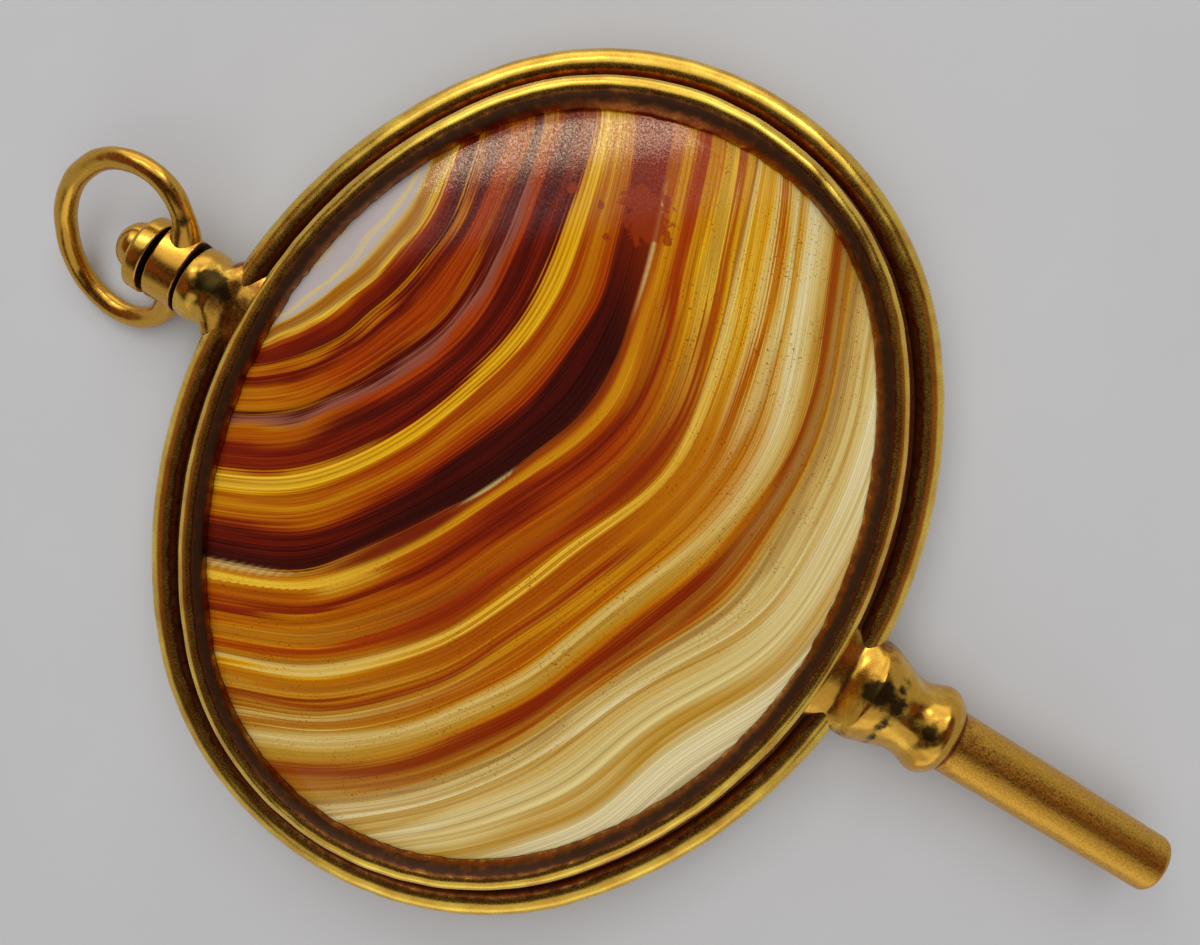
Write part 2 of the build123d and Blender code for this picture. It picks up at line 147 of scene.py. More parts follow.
class WatchKeyRim(bpy.types.PropertyGroup):
    oval_width: FloatProperty(
        name="Oval width", description="Rim across the key", default=rim_high.y - rim_low.y, unit="LENGTH"
    )
    oval_length: FloatProperty(
        name="Oval length", description="Rim along the key", default=rim_high.x - rim_low.x, unit="LENGTH"
    )
    bead_radius: FloatProperty(
        name="Outer bead", description="Radius of the frame's round bead", default=0.75 * MM, unit="LENGTH"
    )
    bead_height: FloatProperty(
        name="Bead height", description="Height of the frame bead's centre", default=0.4 * MM, unit="LENGTH"
    )
    edge_bow: FloatProperty(
        name="Edge bow", description="Radius of the bowed outer edge", default=3.0 * MM, unit="LENGTH"
    )
    bezel_bead: FloatProperty(
        name="Inner bead", description="Radius of the bezel's tall bead", default=0.5 * MM, unit="LENGTH"
    )
    cove: FloatProperty(
        name="Cove", description="Radius of the hollow at the bezel's foot", default=0.2 * MM, unit="LENGTH"
    )
    wall_width: FloatProperty(
        name="Wall", description="Width of the slope from bead to lip", default=0.32 * MM, unit="LENGTH"
    )
    lip_overlap: FloatProperty(
        name="Lip overlap", description="How far the lip covers the stone", default=0.6 * MM, unit="LENGTH"
    )
    lip_thickness: FloatProperty(
        name="Lip", description="Thickness of the lip's edge", default=0.12 * MM, unit="LENGTH"
    )
    lip_raggedness: FloatProperty(
        name="Raggedness", description="How uneven the lip's edge is", default=0.05 * MM, unit="LENGTH"
    )
    steps: IntProperty(name="Steps", description="Sections round the oval", default=720, min=48)


class WatchKeyStone(bpy.types.PropertyGroup):
    edge_height: FloatProperty(
        name="Edge", description="Half the stone's thickness at its edge", default=STONE_EDGE, unit="LENGTH"
    )
    bevel_width: FloatProperty(
        name="Bevel", description="Width of the polished bevel at the edge", default=1.2 * MM, unit="LENGTH"
    )
    bevel_drop: FloatProperty(
        name="Bevel drop", description="How far the bevel falls", default=0.03 * MM, unit="LENGTH"
    )
    rings: IntProperty(name="Rings", description="Rings from centre to edge", default=150, min=12)
    steps: IntProperty(name="Steps", description="Points round each ring", default=640, min=48)
    polish: FloatProperty(
        name="Polish", description="Roughness of the stone's face", default=0.03, subtype="FACTOR"
    )


class WatchKeyPipe(bpy.types.PropertyGroup):
    mouth_radius: FloatProperty(
        name="Mouth", description="Radius of the pipe at its mouth", default=1.3 * MM, unit="LENGTH"
    )
    end_rounding: FloatProperty(
        name="Rounding", description="Rounding of the pipe's end", default=0.28 * MM, unit="LENGTH"
    )
    across_flats: FloatProperty(
        name="Square", description="Winding square, across its flats", default=1.4 * MM, unit="LENGTH"
    )
    square_depth: FloatProperty(
        name="Square depth", description="Depth of the winding square", default=5.5 * MM, unit="LENGTH"
    )
    drill_depth: FloatProperty(
        name="Drill depth", description="Depth of the drilled hole", default=7.5 * MM, unit="LENGTH"
    )
    foot_wall: FloatProperty(
        name="Foot wall", description="Ferrule's wall at the rim", default=0.83 * MM, unit="LENGTH"
    )
    bulb_wall: FloatProperty(
        name="Bulb wall", description="Ferrule's wall at its large bulb", default=0.88 * MM, unit="LENGTH"
    )
    waist_wall: FloatProperty(
        name="Waist wall", description="Ferrule's wall at its waist", default=0.34 * MM, unit="LENGTH"
    )
    collar_wall: FloatProperty(
        name="Small bulb wall", description="Ferrule's wall at its small bulb", default=0.62 * MM,
        unit="LENGTH",
    )
    lip_wall: FloatProperty(
        name="Lip wall", description="Ferrule's wall at its mouth", default=0.24 * MM, unit="LENGTH"
    )
    stations: IntProperty(name="Stations", description="Rings along the pipe", default=40, min=2)
    steps: IntProperty(name="Steps", description="Points round the pipe", default=160, min=16)


class WatchKeyBow(bpy.types.PropertyGroup):
    wire_radius: FloatProperty(
        name="Wire", description="Radius of the bow's wire", default=0.5 * MM, unit="LENGTH"
    )
    end_radius: FloatProperty(
        name="Wire end", description="Radius of the wire where it meets the collar", default=0.72 * MM,
        unit="LENGTH",
    )
    width: FloatProperty(name="Width", description="Bow across the key", default=8.8 * MM, unit="LENGTH")
    reach: FloatProperty(
        name="Reach", description="Bow's far side beyond its widest place", default=3.93 * MM,
        unit="LENGTH",
    )
    turn: FloatProperty(
        name="Turn", description="Turn of the bow about the key's axis", default=radians(32),
        subtype="ANGLE",
    )
    collar_radius: FloatProperty(
        name="Collar", description="Radius of the swivel collar", default=1.74 * MM, unit="LENGTH"
    )
    flat_depth: FloatProperty(
        name="Seat", description="How deep the bow's ends sit in the collar", default=0.34 * MM,
        unit="LENGTH",
    )
    head_radius: FloatProperty(
        name="Rivet head", description="Radius of the rivet's head", default=1.13 * MM, unit="LENGTH"
    )
    pin_radius: FloatProperty(
        name="Pin", description="Radius of the rivet's shank", default=0.6 * MM, unit="LENGTH"
    )
    neck_foot: FloatProperty(
        name="Neck foot", description="Radius of the neck at the rim's edge", default=1.74 * MM,
        unit="LENGTH",
    )
    neck_waist: FloatProperty(
        name="Neck waist", description="Radius of the neck's waist and its face", default=1.62 * MM,
        unit="LENGTH",
    )
    neck_swell: FloatProperty(
        name="Neck swell", description="Radius of the neck beside the collar", default=1.72 * MM,
        unit="LENGTH",
    )
    steps: IntProperty(name="Steps", description="Points round the wire", default=64, min=12)
    neck_steps: IntProperty(name="Neck steps", description="Points round the neck", default=160, min=16)
    rivet_steps: IntProperty(name="Rivet steps", description="Points round the rivet", default=96, min=16)
    washer_steps: IntProperty(
        name="Washer steps", description="Points round the washer", default=120, min=16
    )
    collar_steps: IntProperty(
        name="Collar steps", description="Points round the collar", default=144, min=16
    )


class WatchKeyFinish(bpy.types.PropertyGroup):
    gilding: FloatVectorProperty(
        name="Gilding", description="Colour of the gilt surfaces", default=(0.90, 0.62, 0.09),
        subtype="COLOR", size=3, min=0, max=1,
    )
    worn_gilding: FloatVectorProperty(
        name="Worn gilding", description="Colour where the gilding is thin", default=(0.64, 0.34, 0.045),
        subtype="COLOR", size=3, min=0, max=1,
    )
    red_film: FloatVectorProperty(
        name="Red film", description="Colour of the thin film beside the grooves",
        default=(0.26, 0.075, 0.018), subtype="COLOR", size=3, min=0, max=1,
    )
    # Colour of the dirt in the hollows, and also of the painted shade and painted dark reflections on the
    # beads and walls
    patina_and_shade: FloatVectorProperty(
        name="Patina", description="Colour of the dirt in the grooves", default=(0.035, 0.017, 0.007),
        subtype="COLOR", size=3, min=0, max=1,
    )
    tarnish: FloatVectorProperty(
        name="Tarnish", description="Colour of the dark patches on the fittings",
        default=(0.022, 0.016, 0.006), subtype="COLOR", size=3, min=0, max=1,
    )
    roughness: FloatProperty(
        name="Roughness", description="Roughness of the gilding", default=0.24, subtype="FACTOR"
    )
    pipe_roughness: FloatProperty(
        name="Pipe roughness", description="Roughness of the matt pipe", default=0.34, subtype="FACTOR"
    )


class WatchKeyStage(bpy.types.PropertyGroup):
    floor_colour: FloatVectorProperty(
        name="Floor", description="Colour of the floor", default=(0.50, 0.515, 0.52),
        subtype="COLOR", size=3, min=0, max=1,
    )
    floor_size: FloatProperty(
        name="Floor size", description="Side of the square floor", default=0.5, unit="LENGTH"
    )
    key_light: FloatProperty(name="Key light", description="Brightness of the windows", default=6.0)
    top_card: FloatProperty(name="Top card", description="Brightness of the upper card", default=1.0)
    low_card: FloatProperty(name="Low card", description="Brightness of the lower card", default=0.62)
    glare: FloatProperty(name="Glare", description="Brightness of the strip seen in the stone", default=12.0)
    side_card: FloatProperty(
        name="Side cards", description="Brightness of the wood at the sides", default=0.17
    )
    fill: FloatProperty(name="Fill", description="Brightness of the overhead fill", default=1.64)
    surround: FloatProperty(name="Surround", description="Brightness of the dark room", default=0.04)


# Shape helpers


def arc(centre_u, centre_v, radius, start, end, steps):
    """Points of an arc as (u, v), its angles in degrees."""
    points = []
    for step in range(steps + 1):
        angle = radians(start + (end - start) * step / steps)
        points.append((centre_u + radius * cos(angle), centre_v + radius * sin(angle)))
    return points


def angles_round(steps):
    return [2 * pi * step / steps for step in range(steps)]


def smooth_step(low, high, value):
    """Rises softly from 0 at low to 1 at high, or falls so where low is the larger."""
    share = min(max((value - low) / (high - low), 0.0), 1.0)
    return share * share * (3 - 2 * share)


def smooth_curve(points, steps):
    """A curve through (u, v) points, with each point's slope taken from its neighbours."""
    curve = []
    last = len(points) - 1
    for index in range(last):
        before = points[max(index - 1, 0)]
        start = points[index]
        end = points[index + 1]
        after = points[min(index + 2, last)]
        for step in range(steps):
            t = step / steps
            curve.append(tuple(
                0.5 * (
                    2 * start[axis]
                    + (end[axis] - before[axis]) * t
                    + (2 * before[axis] - 5 * start[axis] + 4 * end[axis] - after[axis]) * t * t
                    + (3 * start[axis] - before[axis] - 3 * end[axis] + after[axis]) * t * t * t
                )
                for axis in (0, 1)
            ))
    curve.append(points[last])
    return curve


def loft_rings(rings, loop=False):
    """Quads between rings of as many points each. An open loft is closed by a fan at each end."""
    count = len(rings[0])
    points = [point for ring in rings for point in ring]
    faces = []
    spans = len(rings) if loop else len(rings) - 1
    for span in range(spans):
        here = span * count
        there = (span + 1) % len(rings) * count
        for j in range(count):
            k = (j + 1) % count
            faces.append((here + j, here + k, there + k, there + j))
    if not loop:
        for first, ring in ((0, rings[0]), ((len(rings) - 1) * count, rings[-1])):
            points.append(sum(ring, Vector()) / count)
            for j in range(count):
                faces.append((first + j, first + (j + 1) % count, len(points) - 1))
    return points, faces


def roughen(points, size, amount):
    """Moves each point by soft noise, whose lumps are about that size, by up to that amount."""
    noise.seed_set(NOISE_SEED)
    return [point + noise.noise_vector(point / size) * amount for point in points]


def add_piece(name, node, slot, body, points, faces, layers):
    """Makes a piece in place of a CAD node. Each layer has a number for each point, and the finish of
    the slot reads it."""
    mesh = bpy.data.meshes.new(name)
    mesh.from_pydata([tuple(point) for point in points], [], faces)
    shell = bmesh.new()
    shell.from_mesh(mesh)
    bmesh.ops.recalc_face_normals(shell, faces=shell.faces)
    shell.to_mesh(mesh)
    shell.free()
    mesh.shade_smooth()
    mesh.set_sharp_from_angle(angle=radians(SHARP_ANGLE))
    for layer, values in layers.items():
        attribute = mesh.attributes.new(layer, "FLOAT", "POINT")
        attribute.data.foreach_set("value", values)
    mesh.materials.append(key_material(slot))
    piece = bpy.data.objects.new(name, mesh)
    bpy.context.scene.collection.objects.link(piece)
    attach(piece, body)
    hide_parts(node)


# The four-centred oval of the rim, and the sections that are swept round it

# The rim is unevenly bent: waves round its oval, each with its count, its height and the angle of its
# crest, for the outer frame, for the bezels and for the lip over the stone
FRAME_WAVES = ((0, 0.04 * MM, 0), (1, 0.07 * MM, -29), (2, 0.08 * MM, 49), (4, 0.04 * MM, 166))
BEZEL_WAVES = ((0, 0.03 * MM, 0), (1, 0.11 * MM, 61), (3, 0.04 * MM, 61), (4, 0.03 * MM, -150))
LIP_WAVES = (
    (0, 0.17 * MM, 0), (2, 0.05 * MM, 92), (3, 0.04 * MM, 84), (4, 0.08 * MM, -117), (5, 0.04 * MM, -23)
)

# Sizes of the long and the short frays in the lip's edge
LONG_FRAY = 1.6 * MM
SHORT_FRAY = 0.35 * MM


def unevenness(waves, angle):
    return sum(height * cos(count * angle - radians(crest)) for count, height, crest in waves)


def oval_point(rim, angle, inset, height):
    half_width = rim.oval_width / 2
    half_length = rim.oval_length / 2
    join = atan2(half_length, half_width)
    spread = (half_width - half_length) / (cos(join) + sin(join) - 1)
    side_centre = spread * cos(join)
    end_centre = spread * sin(join)
    across = cos(angle)
    up = sin(angle)
    if abs(across) >= cos(join):
        radius = half_length + side_centre - inset
        centre = Vector((-side_centre if across > 0 else side_centre, 0, 0))
    else:
        radius = half_width - end_centre - inset
        centre = Vector((0, end_centre if up > 0 else -end_centre, 0))
    return centre + Vector((OVAL_X + radius * across, radius * up, height))


def bezel_insets(rim):
    """How far inside the oval a bezel's outside, the middle of its bead and its lip lie."""
    outside = rim_high.x - bezel_high.x
    bead = outside + rim.cove + rim.bezel_bead
    lip = bead + rim.bezel_bead + rim.wall_width
    return outside, bead, lip


def frame_section(rim):
    """The frame from its band over the groove and the bead to the bowed edge, as (inset, height, dirt and
    painted shade).
    """
    outside, _, _ = bezel_insets(rim)
    reach = sqrt((rim.edge_bow - rim.bead_radius) ** 2 - rim.bead_height**2)
    bead = rim.edge_bow - reach
    lean = degrees(atan2(rim.bead_height, reach))
    inner = rim_high.x - stone_high.x - SEAT_GAP
    step_in = outside + rim.cove + BAND_STEP
    groove = outside - rim.cove
    groove_height = BAND_HALF_HEIGHT + GROOVE_LIFT
    half = [(inner, 0.0, 1.0), (inner, BAND_HALF_HEIGHT, 1.0), (step_in, BAND_HALF_HEIGHT, 1.0)]
    # The band hidden under the bezel is fully dark. The groove is darkened as dirt and painted shade, and the
    # bead's inner flank as a painted dark reflection
    for inset, height in arc(-groove, groove_height, 2 * rim.cove, 180, 270, 8):
        half.append((-inset, height, 0.72))
    leaving = degrees(acos((groove - bead) / rim.bead_radius))
    for inset, height in arc(-bead, rim.bead_height, rim.bead_radius, 180 - leaving, lean, 22):
        half.append((-inset, height, 0.75 * smooth_step(bead, bead + 0.6 * rim.bead_radius, -inset)))
    sweep = degrees(atan2(half[-1][1], rim.edge_bow - half[-1][0]))
    for inset, height in arc(-rim.edge_bow, 0, rim.edge_bow, sweep, 0, 8)[1:]:
        half.append((-inset, height, 0.0))
    mirrored = [(inset, -height, grime_and_shade) for inset, height, grime_and_shade in reversed(half[1:-1])]
    return half + mirrored


def bezel_section(rim, side):
    """A bezel from its foot up the cove, over the bead and down the wall to the lip, and back under it,
    as (inset, height, dirt and painted shade). side is 1 in front and -1 behind."""
    outside, bead, lip = bezel_insets(rim)
    crest = bezel_high.z - rim.bezel_bead
    foot = rim.bead_height + SEAT_GAP
    stone_inset = lip - rim.lip_overlap
    rise = 2 * (stone_high.z - STONE_EDGE) * rim.lip_overlap / (rim.oval_length / 2 - stone_inset)
    underside = STONE_EDGE + rise + SEAT_GAP
    lip_top = underside + rim.lip_thickness
    cove_x = outside + rim.cove
    cove_top = foot + rim.cove
    # The cove and the bezel's outer side above it get darker downwards, as dirt and painted shade
    section = [(inset, height, 1.0) for inset, height in arc(outside, cove_top, rim.cove, -90, 0, 6)]
    for share in (0.25, 0.5, 0.75):
        section.append((cove_x, cove_top + (crest - cove_top) * share, 1.0 - 0.8 * share))
    reach = hypot(lip - bead, lip_top - crest)
    leaving = degrees(atan2(lip_top - crest, bead - lip) - acos(rim.bezel_bead / reach)) % 360
    # Past the crest, the bead's inner flank and the wall are painted dark as a painted reflection of the dark
    # room and painted shade. This fades to the red film near the lip, and under the lip the bezel is fully
    # dark
    shade_start = bead + 0.05 * rim.bezel_bead
    shade_full = bead + 0.7 * rim.bezel_bead
    for inset, height in arc(-bead, crest, rim.bezel_bead, 0, leaving, 22):
        section.append((-inset, height, smooth_step(shade_start, shade_full, -inset)))
    start_inset, start_height, _ = section[-1]
    for share in (0.2, 0.4, 0.6, 0.8, 0.93):
        inset = start_inset + (lip - start_inset) * share
        height = start_height + (lip_top - start_height) * share
        section.append((inset, height, 1.05 - 0.6 * share))
    section.append((lip, lip_top - LIP_BREAK, 0.45))
    section.append((lip + LIP_BREAK / 2, underside + LIP_BREAK, 1.0))
    section.append((lip - 1.5 * LIP_BREAK, underside, 1.0))
    section.append((stone_inset, underside, 1.0))
    section.append((stone_inset, BAND_HALF_HEIGHT + SEAT_GAP, 1.0))
    section.append((cove_x + BAND_STEP - SEAT_GAP, BAND_HALF_HEIGHT + SEAT_GAP, 1.0))
    section.append((cove_x + BAND_STEP - SEAT_GAP, foot, 1.0))
    return [(inset, side * height, grime_and_shade) for inset, height, grime_and_shade in section]


def sweep_oval(rim, section, waves, raggedness=0.0):
    """Carries a closed section of (inset, height, dirt and painted shade) round the oval, which moves in
    and out with the waves. On a bezel the points near the lip follow the lip's own waves and its ragged edge."""
    *_, lip = bezel_insets(rim)
    rings = []
    dirt_and_shade = []
    for angle in angles_round(rim.steps):
        bent = -unevenness(waves, angle)
        fray = 0.0
        if raggedness:
            place = oval_point(rim, angle, lip, section[0][1])
            long_fray = noise.noise(place / LONG_FRAY)
            short_fray = noise.noise(place / SHORT_FRAY)
            fray = raggedness * (0.6 * long_fray + 0.8 * short_fray - smooth_step(0.2, 0.45, long_fray))
            fray -= unevenness(LIP_WAVES, angle) + bent
        ring = []
        for inset, height, grime_and_shade in section:
            near_lip = smooth_step(lip - rim.wall_width, lip, inset)
            point = oval_point(rim, angle, inset + bent + fray * near_lip, height)
            ring.append(point)
            dirt_and_shade.append(min(grime_and_shade + 0.25 * junction_dirt(point), 1.0))
        rings.append(ring)
    points, faces = loft_rings(rings, loop=True)
    return points, faces, dirt_and_shade


# Dirt and tarnish

# The solder at the ferrule and at the neck: how far its middle lies inside the rim's edge, its half
# width at either, its flatness, and how far the dirt beside it spreads along and across the key
SOLDER_INSET = 0.4 * MM
FERRULE_SOLDER = 2.45 * MM
NECK_SOLDER = 2.15 * MM
SOLDER_FLATNESS = 0.6
DIRT_ALONG = 1.1 * MM
DIRT_ACROSS = 0.42 * MM

# Dark patches on the fittings, in the photograph's pixels: x, y and size, then how dark they are
TARNISH = (
    (874, 694, 15, 1.0), (889, 690, 8, 0.8), (898, 708, 11, 0.9), (908, 682, 5, 0.6), (930, 734, 11, 1.0),
    (866, 743, 5, 0.6), (872, 736, 5, 0.6), (878, 729, 5, 0.6), (885, 722, 6, 0.6), (903, 691, 5, 0.6),
    (912, 722, 7, 0.6),
    (204, 280, 13, 1.0), (218, 284, 12, 1.0), (226, 296, 8, 0.8), (182, 222, 9, 0.7), (176, 236, 6, 0.5),
)


def junction_dirt(point):
    """How close a point lies to where the ferrule and the neck are soldered to the rim."""
    dirt_and_shade = 0.0
    for end_x, half_width in (
        (rim_high.x - SOLDER_INSET, FERRULE_SOLDER), (rim_low.x + SOLDER_INSET, NECK_SOLDER),
    ):
        across = hypot(point.y, point.z * SOLDER_FLATNESS)
        away = hypot((point.x - end_x) / DIRT_ALONG, (across - half_width) / DIRT_ACROSS)
        dirt_and_shade = max(dirt_and_shade, exp(-away * away))
    return dirt_and_shade


def tarnish_depth(point):
    """How dark the gilding is tarnished at a point, up to 1."""
    x, y = photo_pixel(point)
    depth = sum(
        dark * exp(-((x - patch_x) ** 2 + (y - patch_y) ** 2) / size**2)
        for patch_x, patch_y, size, dark in TARNISH
    )
    return min(depth, 1.0)


# Node helpers


class NodeBench:
    """Adds and joins the nodes of one material or world."""

    def __init__(self, owner):
        owner.use_nodes = True
        self.owner = owner
        self.tree = owner.node_tree

    def node(self, kind, **settings):
        made = self.tree.nodes.new(kind)
        for setting, value in settings.items():
            setattr(made, setting, value)
        return made

    def join(self, source, target):
        self.tree.links.new(source, target)

    def feed(self, value, socket):
        if isinstance(value, bpy.types.NodeSocket):
            self.join(value, socket)
        else:
            socket.default_value = value

    def object_place(self):
        return self.node("ShaderNodeTexCoord").outputs["Object"]

    def layer(self, name):
        return self.node("ShaderNodeAttribute", attribute_name=name).outputs["Fac"]

    def stretched(self, place, scale):
        mapping = self.node("ShaderNodeMapping")
        self.join(place, mapping.inputs["Vector"])
        mapping.inputs["Scale"].default_value = scale
        return mapping.outputs["Vector"]

    def noise(self, place, size, detail=2.0, roughness=0.5, dimensions="3D"):
        """Soft noise from 0 to 1 whose lumps are about that size, in the units of the place."""
        texture = self.node("ShaderNodeTexNoise", noise_dimensions=dimensions)
        self.join(place, texture.inputs["Vector"])
        texture.inputs["Scale"].default_value = 1 / size
        texture.inputs["Detail"].default_value = detail
        texture.inputs["Roughness"].default_value = roughness
        return texture.outputs["Fac"]

    def math(self, operation, first, second, clamp=False):
        node = self.node("ShaderNodeMath", operation=operation, use_clamp=clamp)
        self.feed(first, node.inputs[0])
        self.feed(second, node.inputs[1])
        return node.outputs[0]

    def remap(self, value, from_low, from_high, to_low=0.0, to_high=1.0, smooth=False):
        node = self.node("ShaderNodeMapRange", interpolation_type="SMOOTHSTEP" if smooth else "LINEAR")
        self.feed(value, node.inputs["Value"])
        node.inputs["From Min"].default_value = from_low
        node.inputs["From Max"].default_value = from_high
        node.inputs["To Min"].default_value = to_low
        node.inputs["To Max"].default_value = to_high
        return node.outputs["Result"]

    def mix(self, share, first, second, blend="MIX"):
        node = self.node("ShaderNodeMix", data_type="RGBA", blend_type=blend)
        # A Mix node's colour sockets come after its number and vector ones
        self.feed(share, node.inputs[0])
        self.feed(first, node.inputs[6])
        self.feed(second, node.inputs[7])
        return node.outputs[2]

    def grey(self, value):
        node = self.node("ShaderNodeCombineColor")
        for socket in node.inputs:
            self.join(value, socket)
        return node.outputs["Color"]

    def ramp(self, value, stops):
        node = self.node("ShaderNodeValToRGB")
        self.feed(value, node.inputs["Fac"])
        elements = node.color_ramp.elements
        elements[0].position, elements[0].color = stops[0]
        elements[1].position, elements[1].color = stops[-1]
        for position, colour in stops[1:-1]:
            elements.new(position).color = colour
        return node.outputs["Color"]

    def bump(self, height, strength, distance, below=None):
        node = self.node("ShaderNodeBump")
        self.join(height, node.inputs["Height"])
        node.inputs["Strength"].default_value = strength
        node.inputs["Distance"].default_value = distance
        if below is not None:
            self.join(below, node.inputs["Normal"])
        return node.outputs["Normal"]


# The gilding

# Height and size of each finish's grain, how worn it is, and how strongly its grain is speckled
GILDINGS = {
    "gilt_rim": (0.001 * MM, 0.07 * MM, 0.0, 0.05),
    "matt_gilt_pipe": (0.022 * MM, 0.09 * MM, 0.6, 0.25),
    "gilt_fittings": (0.004 * MM, 0.2 * MM, 0.2, 0.05),
    "gilt_bow": (0.002 * MM, 0.12 * MM, 0.36, 0.05),
}


def gilt_material(name, finish, roughness, grain_height, grain_size, wear, speckle):
    """Old fire gilding: mottled colour, rubbed highs, dirt and painted shade in the lows, fine scratches and
    pits.
    """
    bench = NodeBench(bpy.data.materials.new(name))
    shader = bench.tree.nodes["Principled BSDF"]
    place = bench.object_place()
    # The layer read here holds both real dirt and painted shade and painted dark reflections
    dirt_and_shade = bench.layer("dirt_and_shade")
    tarnish = bench.layer("tarnish")
    mottling = bench.noise(place, 1.4 * MM, 4.0, 0.6)
    grain = bench.noise(place, grain_size, 3.0, 0.6)
    pits = bench.noise(place, 0.16 * MM, 2.0, 0.5)
    fleck = bench.noise(place, 0.5 * MM, 5.0, 0.7)
    scratches = bench.noise(bench.stretched(place, (1, 0.06, 1)), 0.05 * MM, 1.0)

    worn = bench.remap(mottling, 0.35 - wear, 0.7 - wear)
    colour = bench.mix(worn, opaque(finish.gilding), opaque(finish.worn_gilding))
    # Where that layer is high, the gilding turns to the red film and then to the dark patina colour: dirt,
    # and painted shade where the layer paints it
    darkened = bench.math("ADD", dirt_and_shade, bench.remap(fleck, 0.35, 0.75, -0.2, 0.2))
    film = bench.remap(darkened, 0.12, 0.5, 0.0, 1.0, smooth=True)
    grime_and_shade = bench.remap(darkened, 0.45, 0.95, 0.0, 0.92, smooth=True)
    spots = bench.remap(pits, 0.72, 0.80, 0.0, 0.55)
    colour = bench.mix(film, colour, opaque(finish.red_film))
    colour = bench.mix(bench.math("MAXIMUM", grime_and_shade, spots), colour, opaque(finish.patina_and_shade))
    ragged = bench.math("ADD", tarnish, bench.remap(fleck, 0.3, 0.7, -0.28, 0.28))
    stained = bench.remap(ragged, 0.2, 0.75, 0.0, 0.95, smooth=True)
    stained = bench.math("MULTIPLY", stained, bench.remap(tarnish, 0.02, 0.2))
    colour = bench.mix(stained, colour, opaque(finish.tarnish))
    shade = bench.remap(grain, 0.35, 0.65, 1 - speckle, 1 + speckle)
    colour = bench.mix(1.0, colour, bench.grey(shade), "MULTIPLY")
    bench.join(colour, shader.inputs["Base Color"])
    bench.join(bench.remap(grime_and_shade, 0.2, 1.0, 1.0, 0.8), shader.inputs["Metallic"])

    rough = bench.remap(grain, 0.3, 0.7, roughness * 0.75, roughness * 1.3)
    rough = bench.math("ADD", rough, bench.math("MULTIPLY", grime_and_shade, 0.3))
    rough = bench.math("ADD", rough, bench.math("MULTIPLY", stained, 0.2), clamp=True)
    bench.join(rough, shader.inputs["Roughness"])

    height = bench.math("SUBTRACT", grain, bench.math("MULTIPLY", spots, 1.5))
    relief = bench.bump(height, 0.6, grain_height)
    relief = bench.bump(scratches, 0.12, 0.004 * MM, relief)
    relief = bench.bump(fleck, 0.2, 0.007 * MM, relief)
    bench.join(relief, shader.inputs["Normal"])
    return bench.owner


# The agate

AGATE_COLOURS = {
    "milk": linear(164, 157, 158),
    "drab": linear(148, 114, 56),
    "straw": linear(180, 151, 80),
    "wheat": linear(192, 163, 86),
    "ivory": linear(204, 193, 148),
    "bone": linear(191, 172, 108),
    "butter": linear(202, 163, 46),
    "yolk": linear(196, 148, 18),
    "gold": linear(178, 122, 15),
    "amber": linear(166, 102, 9),
    "honey": linear(150, 74, 7),
    "ember": linear(142, 52, 7),
    "cinnamon": linear(130, 60, 12),
    "rust": linear(118, 36, 8),
    "oxblood": linear(98, 24, 9),
    "maroon": linear(66, 16, 9),
    "umber": linear(44, 13, 9),
    "mauve": linear(124, 71, 56),
    "ochre": linear(166, 126, 40),
    "clay": linear(150, 96, 22),
    "stain": linear(128, 44, 14),
}
AGATE_IOR = 1.54

